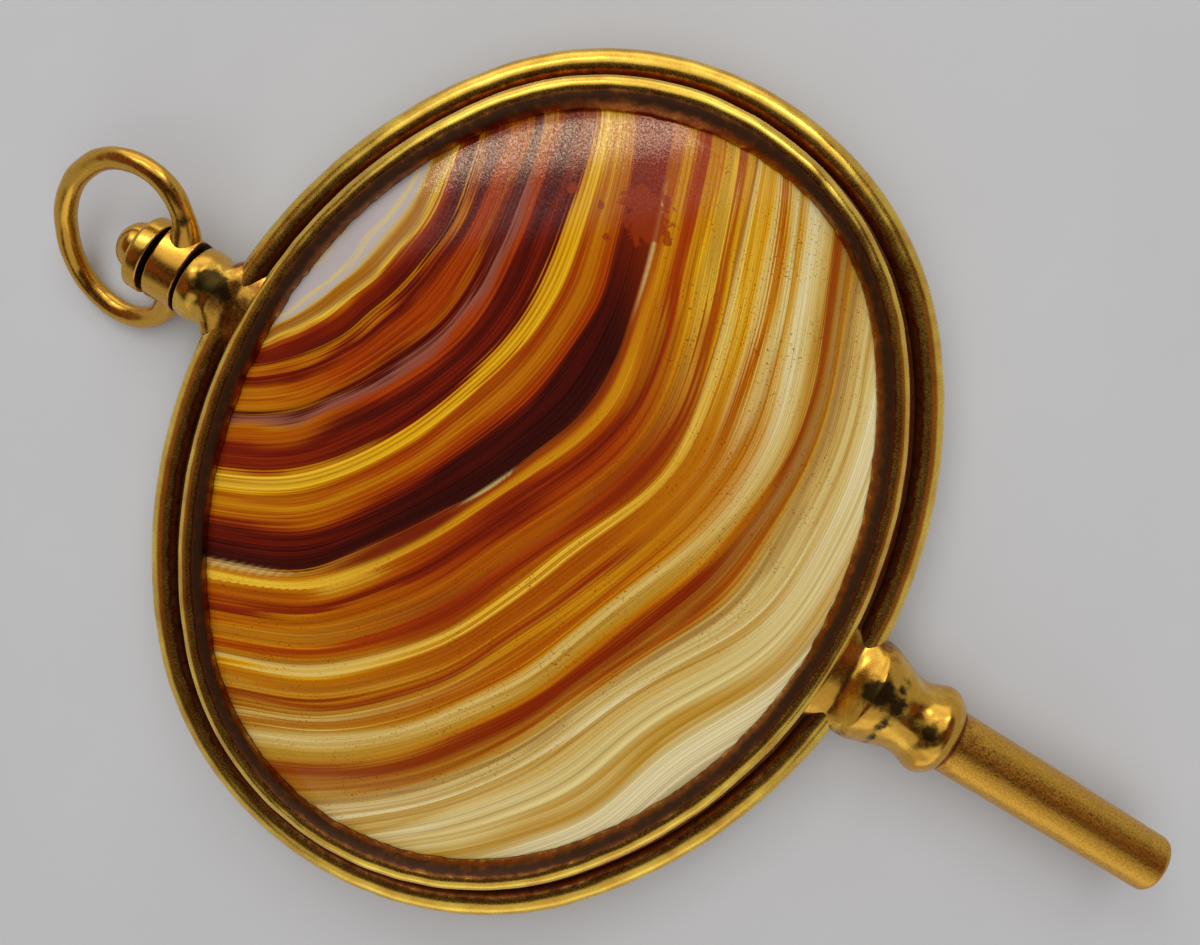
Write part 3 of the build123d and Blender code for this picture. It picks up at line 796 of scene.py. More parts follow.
# Bands from the milky core outwards: place, then the colour all along, or the colours at the left end,
# in the middle and at the upper right end. Whole numbers are the curves of AGATE_CURVES.
AGATE_BANDS = (
    (-1.00, "milk"), (-0.62, "milk"), (-0.55, "bone"), (-0.45, "milk"), (-0.10, "milk"), (-0.02, "bone"),
    (0.06, "milk"), (0.30, "milk"), (0.62, "straw"), (0.80, "ochre", "ochre", "straw"),
    (0.92, "clay", "clay", "ochre"), (1.08, "clay"), (1.20, "drab"), (1.30, "butter"),
    (1.39, "honey", "honey", "amber"), (1.48, "rust"), (1.60, "oxblood"),
    (1.84, "oxblood", "maroon", "oxblood"), (1.92, "amber"), (2.02, "honey", "rust", "amber"),
    (2.10, "oxblood", "maroon", "rust"), (2.21, "oxblood", "oxblood", "rust"),
    (2.30, "honey", "ember", "amber"), (2.42, "amber", "ember", "amber"), (2.51, "honey", "rust", "honey"),
    (2.60, "amber", "honey", "honey"), (2.70, "amber", "oxblood", "amber"),
    (2.79, "maroon", "maroon", "oxblood"), (2.87, "mauve"), (2.98, "amber", "ember", "butter"),
    (3.08, "honey", "ember", "honey"), (3.18, "honey", "oxblood", "honey"),
    (3.30, "rust", "maroon", "rust"), (3.42, "oxblood", "maroon", "rust"),
    (3.52, "oxblood", "oxblood", "rust"), (3.60, "rust", "oxblood", "honey"),
    (3.71, "oxblood", "maroon", "rust"), (3.82, "rust", "oxblood", "honey"), (3.90, "gold"),
    (4.00, "butter", "yolk", "butter"), (4.11, "yolk", "yolk", "butter"), (4.20, "amber", "honey", "yolk"),
    (4.32, "honey", "ember", "gold"), (4.42, "amber", "honey", "gold"), (4.51, "gold", "amber", "yolk"),
    (4.62, "amber", "honey", "gold"), (4.73, "honey", "ember", "amber"), (4.83, "amber", "ember", "amber"),
    (4.91, "honey", "ember", "honey"), (4.99, "rust", "oxblood", "rust"),
    (5.12, "maroon", "umber", "rust"), (5.32, "oxblood", "maroon", "rust"),
    (5.52, "maroon", "umber", "rust"), (5.76, "umber", "umber", "rust"), (5.93, "maroon", "umber", "rust"),
    (6.02, "clay", "cinnamon", "honey"), (6.14, "ochre", "cinnamon", "honey"),
    (6.27, "clay", "cinnamon", "honey"), (6.42, "amber", "honey", "honey"),
    (6.56, "gold", "amber", "honey"), (6.70, "butter", "gold", "honey"), (6.84, "butter", "gold", "amber"),
    (6.96, "butter", "gold", "amber"), (7.05, "amber", "honey", "gold"), (7.13, "honey", "ember", "amber"),
    (7.22, "honey", "rust", "gold"), (7.31, "rust", "oxblood", "ember"), (7.41, "rust", "rust", "ember"),
    (7.51, "amber", "ember", "gold"), (7.60, "honey", "honey", "amber"), (7.70, "amber", "honey", "yolk"),
    (7.80, "clay", "cinnamon", "ochre"), (7.90, "amber", "ember", "butter"),
    (8.00, "ember", "rust", "honey"), (8.13, "ember", "rust", "honey"), (8.27, "honey", "ember", "gold"),
    (8.44, "amber", "honey", "yolk"), (8.60, "clay", "honey", "clay"), (8.71, "clay", "amber", "clay"),
    (8.83, "straw", "gold", "wheat"), (8.93, "wheat", "butter", "wheat"),
    (9.02, "wheat", "butter", "wheat"), (9.11, "yolk", "amber", "butter"),
    (9.21, "amber", "honey", "gold"), (9.32, "amber", "honey", "butter"), (9.46, "clay", "honey", "gold"),
    (9.60, "amber", "honey", "yolk"), (9.70, "ochre", "amber", "wheat"), (9.83, "amber", "honey", "wheat"),
    (9.93, "cinnamon", "ember", "amber"), (10.01, "cinnamon", "rust", "honey"),
    (10.11, "clay", "cinnamon", "gold"), (10.23, "ochre", "amber", "wheat"),
    (10.33, "straw", "gold", "bone"), (10.43, "straw", "amber", "bone"), (10.53, "clay", "honey", "ochre"),
    (10.63, "clay", "honey", "gold"), (10.73, "clay", "amber", "wheat"), (10.84, "ochre", "gold", "bone"),
    (11.02, "bone", "wheat", "ivory"), (11.17, "straw", "wheat", "bone"),
    (11.36, "ochre", "ochre", "bone"), (11.52, "ochre", "ochre", "straw"),
    (11.63, "ochre", "gold", "straw"), (11.76, "clay", "honey", "ochre"),
    (11.89, "cinnamon", "rust", "cinnamon"), (12.01, "cinnamon", "rust", "cinnamon"),
    (12.13, "cinnamon", "rust", "clay"), (12.26, "clay", "cinnamon", "drab"),
    (12.39, "clay", "clay", "drab"), (12.50, "clay", "cinnamon", "clay"), (12.61, "clay", "honey", "clay"),
    (12.73, "ochre"), (12.87, "drab", "straw", "drab"), (12.97, "drab"), (13.08, "straw"),
    (13.22, "bone", "bone", "straw"), (13.36, "ivory", "bone", "bone"), (13.52, "straw", "straw", "bone"),
    (13.64, "bone"), (13.73, "ivory", "bone", "ochre"), (13.83, "ivory", "ivory", "straw"),
    (13.93, "bone", "straw", "bone"), (14.01, "ochre", "ochre", "bone"),
    (14.10, "straw", "straw", "ivory"), (14.22, "ochre", "straw", "ivory"),
    (14.36, "bone", "bone", "ivory"), (14.48, "ivory", "bone", "ivory"), (14.60, "straw", "bone", "bone"),
    (14.76, "bone", "bone", "ivory"), (14.90, "straw", "straw", "ivory"),
    (15.02, "ochre", "ochre", "wheat"), (15.12, "straw", "ochre", "ivory"),
    (15.26, "bone", "bone", "ivory"), (15.42, "ivory"), (16.50, "ivory"),
)

# Bands in one colour ramp, which can hold 32
RAMP_BANDS = 30

# Where some of the bands run in the photograph, in its pixels, from the core outwards
BAND_CORE = (250, 180)
AGATE_CURVES = (
    ((440, 118), (425, 160), (407, 197), (370, 235), (310, 298), (283, 318)),
    ((452, 110), (434, 161), (421, 197), (388, 243), (337, 287), (275, 326), (262, 338)),
    (
        (492, 118), (476, 172), (463, 212), (432, 258), (375, 316), (355, 336), (315, 357), (280, 367),
        (251, 371),
    ),
    (
        (556, 118), (543, 161), (527, 201), (508, 249), (458, 334), (391, 380), (334, 410), (299, 425),
        (229, 427),
    ),
    (
        (606, 105), (604, 119), (592, 172), (577, 220), (566, 254), (550, 291), (529, 325), (502, 358),
        (470, 385), (439, 412), (391, 445), (345, 468), (292, 483), (216, 479),
    ),
    (
        (640, 120), (629, 197), (617, 243), (604, 298), (577, 341), (554, 372), (524, 406), (500, 426),
        (468, 449), (410, 487), (353, 514), (307, 531), (257, 529), (209, 521),
    ),
    (
        (680, 112), (678, 122), (671, 153), (659, 205), (650, 256), (636, 300), (619, 353), (604, 387),
        (589, 410), (562, 433), (520, 462), (500, 481), (449, 508), (391, 538), (334, 562), (322, 569),
        (296, 574), (257, 569), (207, 558),
    ),
    (
        (694, 112), (690, 124), (684, 153), (673, 205), (659, 262), (648, 306), (636, 347), (623, 384),
        (608, 414), (577, 443), (537, 470), (502, 493), (468, 517), (391, 560), (334, 584), (305, 590),
        (257, 585), (208, 576),
    ),
    (
        (748, 145), (744, 163), (736, 197), (723, 262), (707, 348), (700, 368), (686, 414), (671, 437),
        (642, 475), (604, 506), (546, 542), (499, 573), (449, 614), (391, 637), (334, 651), (303, 654),
        (257, 646), (213, 637),
    ),
    (
        (766, 150), (759, 170), (747, 233), (738, 281), (724, 334), (709, 384), (692, 426), (673, 468),
        (642, 498), (604, 523), (556, 556), (543, 572), (500, 601), (449, 637), (391, 656), (334, 669),
        (303, 672), (257, 664), (217, 654),
    ),
    (
        (786, 190), (783, 210), (773, 271), (753, 359), (738, 406), (719, 460), (680, 502), (633, 546),
        (585, 585), (556, 606), (508, 635), (449, 677), (391, 694), (353, 704), (315, 710), (276, 704),
        (232, 692),
    ),
    (
        (818, 195), (814, 217), (807, 262), (797, 333), (790, 373), (770, 445), (738, 493), (700, 537),
        (633, 588), (585, 627), (527, 677), (470, 700), (410, 727), (353, 738), (311, 740), (252, 729),
    ),
    (
        (842, 225), (838, 248), (833, 279), (823, 356), (814, 402), (797, 450), (776, 490), (742, 528),
        (700, 581), (661, 608), (633, 633), (585, 669), (527, 712), (470, 736), (410, 761), (353, 771),
        (311, 775), (273, 765),
    ),
    (
        (868, 230), (858, 300), (852, 335), (840, 404), (828, 447), (810, 485), (776, 545), (759, 576),
        (747, 602), (700, 631), (652, 656), (604, 689), (566, 715), (537, 742), (470, 773), (430, 790),
        (372, 798), (313, 804),
    ),
    (
        (892, 240), (878, 350), (866, 420), (850, 470), (822, 530), (790, 590), (750, 632), (680, 662),
        (623, 692), (575, 729), (546, 756), (470, 792), (430, 807), (345, 821),
    ),
    (
        (918, 260), (896, 400), (876, 500), (845, 560), (815, 615), (770, 673), (719, 700), (652, 738),
        (623, 767), (604, 790), (585, 809), (527, 823), (470, 845), (400, 850),
    ),
)

# The angles round the core between which the curves are read, and how far their corners are rounded
CURVE_FROM = -30
CURVE_TO = 110
CURVE_ROUNDING = 4

# How far the bands go on inside the first curve and outside the last, in pixels
CORE_WIDTH = 60
OUTER_WIDTH = 45

# Dark red stains, in the photograph's pixels: (x, y), then half width and half height
AGATE_STAINS = (
    ((648, 218), (24, 26)), ((640, 200), (18, 14)), ((573, 188), (5, 6)), ((601, 205), (4, 5)),
    ((606, 237), (4, 4)), ((667, 241), (5, 6)), ((667, 203), (5, 9)),
)

# Soft clouds over the bands: (angle, place among the bands), their half widths, and how strong they are
AGATE_CLOUDS = {
    "bone": (((10, 6.12), (9, 0.16), 0.6), ((52, 6.06), (5, 0.10), 0.7), ((92, 6.12), (8, 0.16), 0.6)),
    "oxblood": (((67, 6.33), (12, 0.42), 0.9), ((33, 6.08), (8, 0.16), 0.45)),
    "rust": (
        ((35, 8.35), (12, 0.5), 0.5), ((66, 8.3), (8, 0.45), 0.5), ((27, 6.25), (9, 0.2), 0.4),
        ((46, 6.3), (7, 0.2), 0.4),
    ),
    "drab": (((48, 12.98), (7, 0.13), 0.7), ((34, 13.14), (5, 0.12), 0.7), ((62, 13.2), (3, 0.22), 0.5)),
    "amber": (((36, 9.9), (9, 0.9), 0.6), ((35, 11.85), (6, 0.2), 0.6)),
}


def polar(x, y):
    """A pixel as its angle in degrees and its distance from the core."""
    return degrees(atan2(y - BAND_CORE[1], x - BAND_CORE[0])), hypot(x - BAND_CORE[0], y - BAND_CORE[1])


def read_curve(curve, angle):
    """Distance from the core of a curve at an angle, straight between its points."""
    if angle <= curve[0][0]:
        return curve[0][1]
    for (start_angle, start), (end_angle, end) in zip(curve, curve[1:]):
        if angle <= end_angle:
            return start + (end - start) * (angle - start_angle) / (end_angle - start_angle)
    return curve[-1][1]


def even_curve(curve):
    """The curve as a distance for each degree, with the corners between its points rounded off."""
    measured = sorted(polar(x, y) for x, y in curve)
    even = []
    for angle in range(CURVE_FROM, CURVE_TO + 1):
        total = 0.0
        weights = 0.0
        for offset in range(-2 * CURVE_ROUNDING, 2 * CURVE_ROUNDING + 1):
            weight = exp(-((offset / CURVE_ROUNDING) ** 2))
            total += weight * read_curve(measured, angle + offset)
            weights += weight
        even.append(total / weights)
    return even


EVEN_CURVES = [even_curve(curve) for curve in AGATE_CURVES]


def band_place(angle, distance):
    """Where a place lies among the bands: whole numbers on the curves, shares between them."""
    degree = min(max(angle, CURVE_FROM), CURVE_TO - 1.001) - CURVE_FROM
    whole = int(degree)
    places = [curve[whole] + (curve[whole + 1] - curve[whole]) * (degree - whole) for curve in EVEN_CURVES]
    places.insert(0, places[0] - CORE_WIDTH)
    places.append(places[-1] + OUTER_WIDTH)
    if distance <= places[0]:
        return -1.0
    for index in range(len(places) - 1):
        if distance <= places[index + 1]:
            width = max(places[index + 1] - places[index], 1.0)
            return index - 1 + (distance - places[index]) / width
    return float(len(EVEN_CURVES))


def stain_depth(x, y):
    """Above 1 inside a stain, falling to 0 away from it."""
    deepest = 0.0
    for (centre_x, centre_y), (half_width, half_height) in AGATE_STAINS:
        away = hypot((x - centre_x) / half_width, (y - centre_y) / half_height)
        deepest = max(deepest, 2.0 - away)
    return deepest


def cloud_depth(clouds, angle, place):
    depth = 0.0
    for (cloud_angle, cloud_place), (half_angle, half_place), strength in clouds:
        away = hypot((angle - cloud_angle) / half_angle, (place - cloud_place) / half_place)
        depth = max(depth, strength * smooth_step(1.3, 0.5, away))
    return depth


def band_ramp(bench, place, column):
    """The colours of one stretch of the bands, cut into ramps that a colour ramp can hold."""
    colour = None
    for first in range(0, len(AGATE_BANDS) - 1, RAMP_BANDS - 1):
        rows = AGATE_BANDS[first:first + RAMP_BANDS]
        start = rows[0][0]
        end = rows[-1][0]
        stops = []
        for row in rows:
            tint = row[min(column, len(row) - 1)]
            stops.append(((row[0] - start) / (end - start), AGATE_COLOURS[tint]))
        part = bench.ramp(bench.remap(place, start, end), stops)
        if colour is None:
            colour = part
        else:
            colour = bench.mix(bench.math("GREATER_THAN", place, start), colour, part)
    return colour


def agate_material(name, stone):
    """Banded agate: its bands and fine lines, then clouds, specks, a stain and the worn polish."""
    bench = NodeBench(bpy.data.materials.new(name))
    shader = bench.tree.nodes["Principled BSDF"]
    place = bench.object_place()
    band = bench.layer("band")
    along = bench.layer("along")
    stain = bench.layer("stain")

    joined = bench.node("ShaderNodeCombineXYZ")
    bench.join(band, joined.inputs["X"])
    bench.join(bench.math("MULTIPLY", along, 0.9), joined.inputs["Y"])
    laid = joined.outputs["Vector"]
    waver = bench.noise(bench.stretched(laid, (1, 2.6, 1)), 0.5, 1.0, 0.5, "2D")
    coarse = bench.noise(bench.stretched(laid, (1, 0.05, 1)), 0.055, 1.0, 0.6, "2D")
    striae = bench.noise(bench.stretched(laid, (1, 0.035, 1)), 0.05, 3.0, 0.7, "2D")
    swing = bench.remap(waver, 0.25, 0.75, -1, 1)
    swing = bench.math("MULTIPLY", swing, bench.remap(band, 0, 14, 0.05, 0.16))
    shifted = bench.math("ADD", band, swing)
    shifted = bench.math("ADD", shifted, bench.remap(coarse, 0.3, 0.7, -0.07, 0.07))

    left = band_ramp(bench, shifted, 1)
    middle = band_ramp(bench, shifted, 2)
    upper = band_ramp(bench, shifted, 3)
    colour = bench.mix(bench.remap(along, 0.60, 0.88, smooth=True), middle, left)
    late = bench.math("ADD", bench.remap(band, 3, 7, -0.30, 0.05), bench.remap(band, 7, 16, 0.0, 0.15))
    reach = bench.math("SUBTRACT", along, late)
    colour = bench.mix(bench.remap(reach, 0.32, 0.02, smooth=True), colour, upper)
    lines = bench.ramp(bench.remap(striae, 0.28, 0.72), (
        (0.0, (0.60, 0.50, 0.44, 1)), (0.35, (0.90, 0.87, 0.84, 1)), (0.55, (1.0, 1.0, 1.0, 1)),
        (0.75, (1.10, 1.14, 1.2, 1)), (1.0, (1.25, 1.4, 1.6, 1)),
    ))
    clear = bench.math("MULTIPLY", bench.remap(band, 0.5, 1.3), bench.remap(band, 7.0, 12.5, 1.0, 0.8))
    colour = bench.mix(clear, colour, bench.mix(1.0, colour, lines, "MULTIPLY"))
    for tint in AGATE_CLOUDS:
        colour = bench.mix(bench.layer("cloud_" + tint), colour, AGATE_COLOURS[tint])

    speck = bench.noise(place, 0.10 * MM, 2.0, 0.6)
    cluster = bench.noise(place, 1.3 * MM, 3.0, 0.6)
    speckled = bench.math("MULTIPLY", bench.remap(speck, 0.60, 0.68), bench.remap(cluster, 0.38, 0.60))
    ochre_zone = bench.math("MULTIPLY", bench.remap(band, 6.2, 7.2), bench.remap(band, 14.6, 13.2))
    speckled = bench.math("MULTIPLY", speckled, bench.math("MULTIPLY", ochre_zone, 0.85))
    colour = bench.mix(speckled, colour, AGATE_COLOURS["rust"])

    edge = bench.math("ADD", stain, bench.remap(bench.noise(place, 0.3 * MM, 4.0), 0.3, 0.7, -0.35, 0.35))
    stained = bench.remap(edge, 0.92, 1.12, 0.0, 0.82)
    colour = bench.mix(stained, colour, AGATE_COLOURS["stain"])
    bench.join(colour, shader.inputs["Base Color"])

    smear = bench.noise(place, 0.9 * MM, 4.0, 0.6)
    rough = bench.remap(smear, 0.35, 0.7, stone.polish * 0.7, stone.polish * 1.9)
    bench.join(rough, shader.inputs["Roughness"])
    shader.inputs["IOR"].default_value = AGATE_IOR
    fine = bench.noise(place, 0.08 * MM, 3.0, 0.6)
    bench.join(bench.remap(fine, 0.42, 0.66, 0.08, 0.4), shader.inputs["Specular IOR Level"])
    relief = bench.bump(fine, 0.8, 0.0015 * MM)
    relief = bench.bump(smear, 0.2, 0.004 * MM, relief)
    bench.join(relief, shader.inputs["Normal"])
    return bench.owner


def key_material(slot):
    """The finish of a slot, made once and shared by the pieces that have it."""
    name = slot + "_finish"
    ready = bpy.data.materials.get(name)
    if ready:
        return ready
    scene = bpy.context.scene
    if slot == "banded_agate":
        return agate_material(name, scene.watch_key_stone)
    finish = scene.watch_key_finish
    roughness = finish.pipe_roughness if slot == "matt_gilt_pipe" else finish.roughness
    return gilt_material(name, finish, roughness, *GILDINGS[slot])


# The rim, its bezels and the stone, with one operator for each piece or pair of like pieces


class MakeRim(bpy.types.Operator):
    """Sweep the rim frame round the oval"""

    bl_idname = "watch_key.make_rim"
    bl_label = "Rim Frame"

    def execute(self, context):
        rim = context.scene.watch_key_rim
        points, faces, dirt_and_shade = sweep_oval(rim, frame_section(rim), FRAME_WAVES)
        points = roughen(points, 1.2 * MM, 0.02 * MM)
        add_piece("rim_frame_gilt", "rim_frame", "gilt_rim", "key", points, faces, {"dirt_and_shade": dirt_and_shade})
        return {"FINISHED"}


class MakeBezels(bpy.types.Operator):
    """Sweep both bezels, with their ragged lips over the stone"""

    bl_idname = "watch_key.make_bezels"
    bl_label = "Bezels"

    def execute(self, context):
        rim = context.scene.watch_key_rim
        for node, side in (("front_bezel", 1), ("back_bezel", -1)):
            points, faces, dirt_and_shade = sweep_oval(rim, bezel_section(rim, side), BEZEL_WAVES, rim.lip_raggedness)
            points = roughen(points, 1.1 * MM, 0.025 * MM)
            add_piece(node + "_gilt", node, "gilt_rim", "key", points, faces, {"dirt_and_shade": dirt_and_shade})
        return {"FINISHED"}


def cap_radius(half_chord, rise):
    """Radius of the arc that rises so far over its half chord."""
    return (half_chord**2 + rise**2) / (2 * rise)


def stone_shape(rim, stone):
    """Points and faces of the stone, domed more strongly across its short way than its long one."""
    inset = rim_high.x - stone_high.x
    crown = stone_high.z
    rise = crown - stone.edge_height
    long_radius = cap_radius(rim.oval_width / 2 - inset, rise)
    short_radius = cap_radius(rim.oval_length / 2 - inset, rise)
    axis_height = crown - long_radius

    def dome(point, depth):
        ridge = crown - short_radius + sqrt(short_radius**2 - (point.x - OVAL_X) ** 2)
        height = axis_height + sqrt((ridge - axis_height) ** 2 - point.y**2)
        return height - stone.bevel_drop * smooth_step(stone.bevel_width, 0, depth)

    outline = [oval_point(rim, angle, inset, 0) for angle in angles_round(stone.steps)]
    front = []
    for number in range(stone.rings):
        share = (number + 1) / stone.rings
        ring = []
        for edge in outline:
            point = OVAL_CENTRE + (edge - OVAL_CENTRE) * share
            point.z = dome(point, (edge - OVAL_CENTRE).length * (1 - share))
            ring.append(point)
        front.append(ring)
    back = [[Vector((point.x, point.y, -point.z)) for point in ring] for ring in front]
    points, faces = loft_rings(front + back[::-1])
    # The last two points are the middles of the two fans
    points[-2].z = crown
    points[-1].z = -crown
    return points, faces


class MakeStone(bpy.types.Operator):
    """Dome both faces of the agate and lay its bands"""

    bl_idname = "watch_key.make_stone"
    bl_label = "Banded Agate"

    def execute(self, context):
        points, faces = stone_shape(context.scene.watch_key_rim, context.scene.watch_key_stone)
        layers = {"band": [], "along": [], "stain": []}
        for tint in AGATE_CLOUDS:
            layers["cloud_" + tint] = []
        for point in points:
            x, y = photo_pixel(point)
            angle, distance = polar(x, y)
            place = band_place(angle, distance)
            layers["band"].append(place)
            layers["along"].append(angle / 100)
            layers["stain"].append(stain_depth(x, y))
            for tint, clouds in AGATE_CLOUDS.items():
                layers["cloud_" + tint].append(cloud_depth(clouds, angle, place))
        add_piece("agate_plaque_banded", "agate_plaque", "banded_agate", "key", points, faces, layers)
        return {"FINISHED"}


# The turned pieces

# The flare of the soldered feet: where it starts outside the rim's edge and ends inside it, and by what
# share it flattens
FLARE_START = -0.45 * MM
FLARE_END = 0.9 * MM
FLARE_FLATTENING = 0.34


def circle_ring(x, radius, steps, bulge=None):
    """A ring about the key's axis. bulge gives a change of radius at a place and an angle."""
    ring = []
    for angle in angles_round(steps):
        reach = radius + (bulge(x, angle) if bulge else 0)
        ring.append(Vector((x, reach * cos(angle), reach * sin(angle))))
    return ring


def square_ring(x, half, steps):
    """A square of that half width about the key's axis, with as many points as a circle's ring."""
    ring = []
    for angle in angles_round(steps):
        reach = half / max(abs(cos(angle)), abs(sin(angle)))
        ring.append(Vector((x, reach * cos(angle), reach * sin(angle))))
    return ring


def lathe(profile, steps, bulge=None, loop=False):
    """Turns a profile of (x, radius) about the key's axis."""
    return loft_rings([circle_ring(x, radius, steps, bulge) for x, radius in profile], loop)


def dented(dents, lumps):
    """Change of radius from named dents, each (x, angle, length, depth), and from soft lumps."""
    def bulge(x, angle):
        change = lumps * noise.noise(Vector((x / MM, 1.6 * cos(angle), 1.6 * sin(angle))))
        for dent_x, dent_angle, length, depth in dents:
            turn = (degrees(angle) - dent_angle + 180) % 360 - 180
            away = hypot((x - dent_x) / length, radians(turn) * 2 * MM / length)
            change -= depth * exp(-away * away)
        return change
    return bulge


def flare_foot(points, rim_x, inward, spread):
    """Spreads what lies inside the rim's edge along the rim and lets it down to the beads, as solder
    does. inward is 1 where the rim lies at higher x, else -1."""
    flared = []
    for point in points:
        depth = smooth_step(FLARE_START, FLARE_END, (point.x - rim_x) * inward)
        wider = 1 + spread * depth
        flatter = 1 - FLARE_FLATTENING * depth
        flared.append(Vector((point.x, point.y * wider, point.z * flatter)))
    return flared


def away_from_axis(point):
    return hypot(point.y, point.z)


class MakePipe(bpy.types.Operator):
    """Turn the winding pipe, with its winding square and drilled bore"""

    bl_idname = "watch_key.make_pipe"
    bl_label = "Winding Pipe"

    def execute(self, context):
        pipe = context.scene.watch_key_pipe
        radius = pipe_high.y
        mouth_x = pipe_high.x
        start = ferrule_high.x
        length = mouth_x - start
        rounding = pipe.end_rounding
        profile = [(pipe_low.x, TENON_RADIUS), (start - PIPE_SEAT, TENON_RADIUS), (start - PIPE_SEAT, radius)]
        for station in range(pipe.stations + 1):
            along = (length - rounding) * station / pipe.stations
            profile.append((start + along, radius + (pipe.mouth_radius - radius) * along / length))
        profile += arc(mouth_x - rounding, pipe.mouth_radius - rounding, rounding, 80, 0, 8)

        half = pipe.across_flats / 2
        bevel = 0.06 * MM
        drilled = 0.98 * half
        rings = [circle_ring(x, reach, pipe.steps) for x, reach in profile]
        rings.append(square_ring(mouth_x, half + bevel, pipe.steps))
        rings.append(square_ring(mouth_x - bevel, half, pipe.steps))
        rings.append(square_ring(mouth_x - pipe.square_depth, half, pipe.steps))
        rings.append(circle_ring(mouth_x - pipe.square_depth, drilled, pipe.steps))
        rings.append(circle_ring(mouth_x - pipe.drill_depth, drilled, pipe.steps))
        points, faces = loft_rings(rings)
        # The last point is the middle of the bore's floor, where the drill's tip went deeper
        points[-1].x -= 0.6 * half

        corner = 1.45 * half
        dirt_and_shade = []
        for point in points:
            beyond = point.x - start
            # Inside the winding square and the bore the gilding is fully dark: painted shade and dirt
            inside = away_from_axis(point) < corner and point.x < mouth_x - bevel / 2
            # A painted shadow on the pipe just beyond the ferrule's mouth
            mouth_shadow = smooth_step(0.24 * MM, 0.14 * MM, beyond)
            film = 0.26 * smooth_step(2.4 * MM, 0.2 * MM, beyond)
            dirt_and_shade.append(1.0 if inside else max(mouth_shadow, film))
        points = roughen(points, 1.5 * MM, 0.012 * MM)
        add_piece("key_pipe_gilt", "key_pipe", "matt_gilt_pipe", "key", points, faces, {"dirt_and_shade": dirt_and_shade})
        return {"FINISHED"}


class MakeFerrule(bpy.types.Operator):
    """Turn the ferrule with its two bulbs, its dents and its solder"""

    bl_idname = "watch_key.make_ferrule"
    bl_label = "Pipe Ferrule"

    def execute(self, context):
        pipe = context.scene.watch_key_pipe
        radius = pipe_high.y
        start = rim_high.x
        length = ferrule_high.x - start
        foot = radius + pipe.foot_wall
        lip = radius + pipe.lip_wall
        outline = [
            (ferrule_low.x - FOOT_REACH, foot + 0.22 * MM),
            (ferrule_low.x + 0.1 * MM, foot + 0.1 * MM),
            (start - 0.8 * MM, foot - 0.02 * MM),
            (start, foot),
            (start + 0.14 * length, radius + pipe.bulb_wall),
            (start + 0.56 * length, radius + pipe.waist_wall),
            (start + 0.83 * length, radius + pipe.collar_wall),
            (ferrule_high.x - 0.04 * length, lip + 0.16 * MM),
            (ferrule_high.x, lip - 0.02 * MM),
        ]
        profile = smooth_curve(outline, 18)
        profile.append((ferrule_high.x, radius + 0.05 * MM))
        profile.append((ferrule_high.x - 0.3 * MM, radius + 0.03 * MM))
        dents = (
            (start + 2.4 * MM, 12, 0.9 * MM, 0.16 * MM),
            (start + 1.7 * MM, 55, 0.6 * MM, 0.07 * MM),
            (start + 2.3 * MM, 82, 0.4 * MM, 0.1 * MM),
            (start + 3.6 * MM, 118, 0.35 * MM, 0.07 * MM),
            (start + 1.0 * MM, 128, 0.7 * MM, 0.05 * MM),
            (start + 2.9 * MM, 30, 0.5 * MM, 0.05 * MM),
        )
        points, faces = lathe(profile, pipe.steps, dented(dents, 0.03 * MM))
        points = flare_foot(points, start, -1, 0.16)
        layers = {
            "dirt_and_shade": [0.1 + 0.5 * junction_dirt(point) for point in points],
            "tarnish": [tarnish_depth(point) for point in points],
        }
        points = roughen(points, 0.5 * MM, 0.012 * MM)
        add_piece("pipe_ferrule_gilt", "pipe_ferrule", "gilt_fittings", "key", points, faces, layers)
        return {"FINISHED"}


class MakeNeck(bpy.types.Operator):
    """Turn the neck that carries the swivel"""

    bl_idname = "watch_key.make_neck"
    bl_label = "Pendant Neck"

    def execute(self, context):
        bow = context.scene.watch_key_bow
        start = rim_low.x
        length = start - neck_low.x
        outline = [
            (neck_high.x + FOOT_REACH, bow.neck_foot + 0.21 * MM),
            (neck_high.x, bow.neck_foot + 0.16 * MM),
            (start + 0.5 * MM, bow.neck_foot + 0.12 * MM),
            (start, bow.neck_foot),
            (start - 0.28 * length, bow.neck_waist),
            (start - 0.66 * length, bow.neck_swell),
            (start - 0.94 * length, bow.neck_swell - 0.04 * MM),
            (neck_low.x, bow.neck_waist),
        ]
        dents = (
            (start - 1.3 * MM, 100, 0.2 * MM, 0.03 * MM),
            (start - 0.5 * MM, 130, 0.3 * MM, 0.03 * MM),
        )
        points, faces = lathe(smooth_curve(outline, 14), bow.neck_steps, dented(dents, 0.015 * MM))
        points = flare_foot(points, start, 1, 0.42)
        dirt_and_shade = []
        for point in points:
            # The end face against the collar is painted dark, painted shade between the parts, and the root
            # gets darker towards the rim
            end_face_shade = smooth_step(neck_low.x + 0.05 * MM, neck_low.x, point.x)
            root = 0.3 * smooth_step(start - 0.5 * MM, start + 0.3 * MM, point.x)
            dirt_and_shade.append(min(0.35 * junction_dirt(point) + end_face_shade + root, 1.0))
        tarnish = [tarnish_depth(point) for point in points]
        points = roughen(points, 0.5 * MM, 0.01 * MM)
        layers = {"dirt_and_shade": dirt_and_shade, "tarnish": tarnish}
        add_piece("pendant_neck_gilt", "pendant_neck", "gilt_fittings", "key", points, faces, layers)
        return {"FINISHED"}


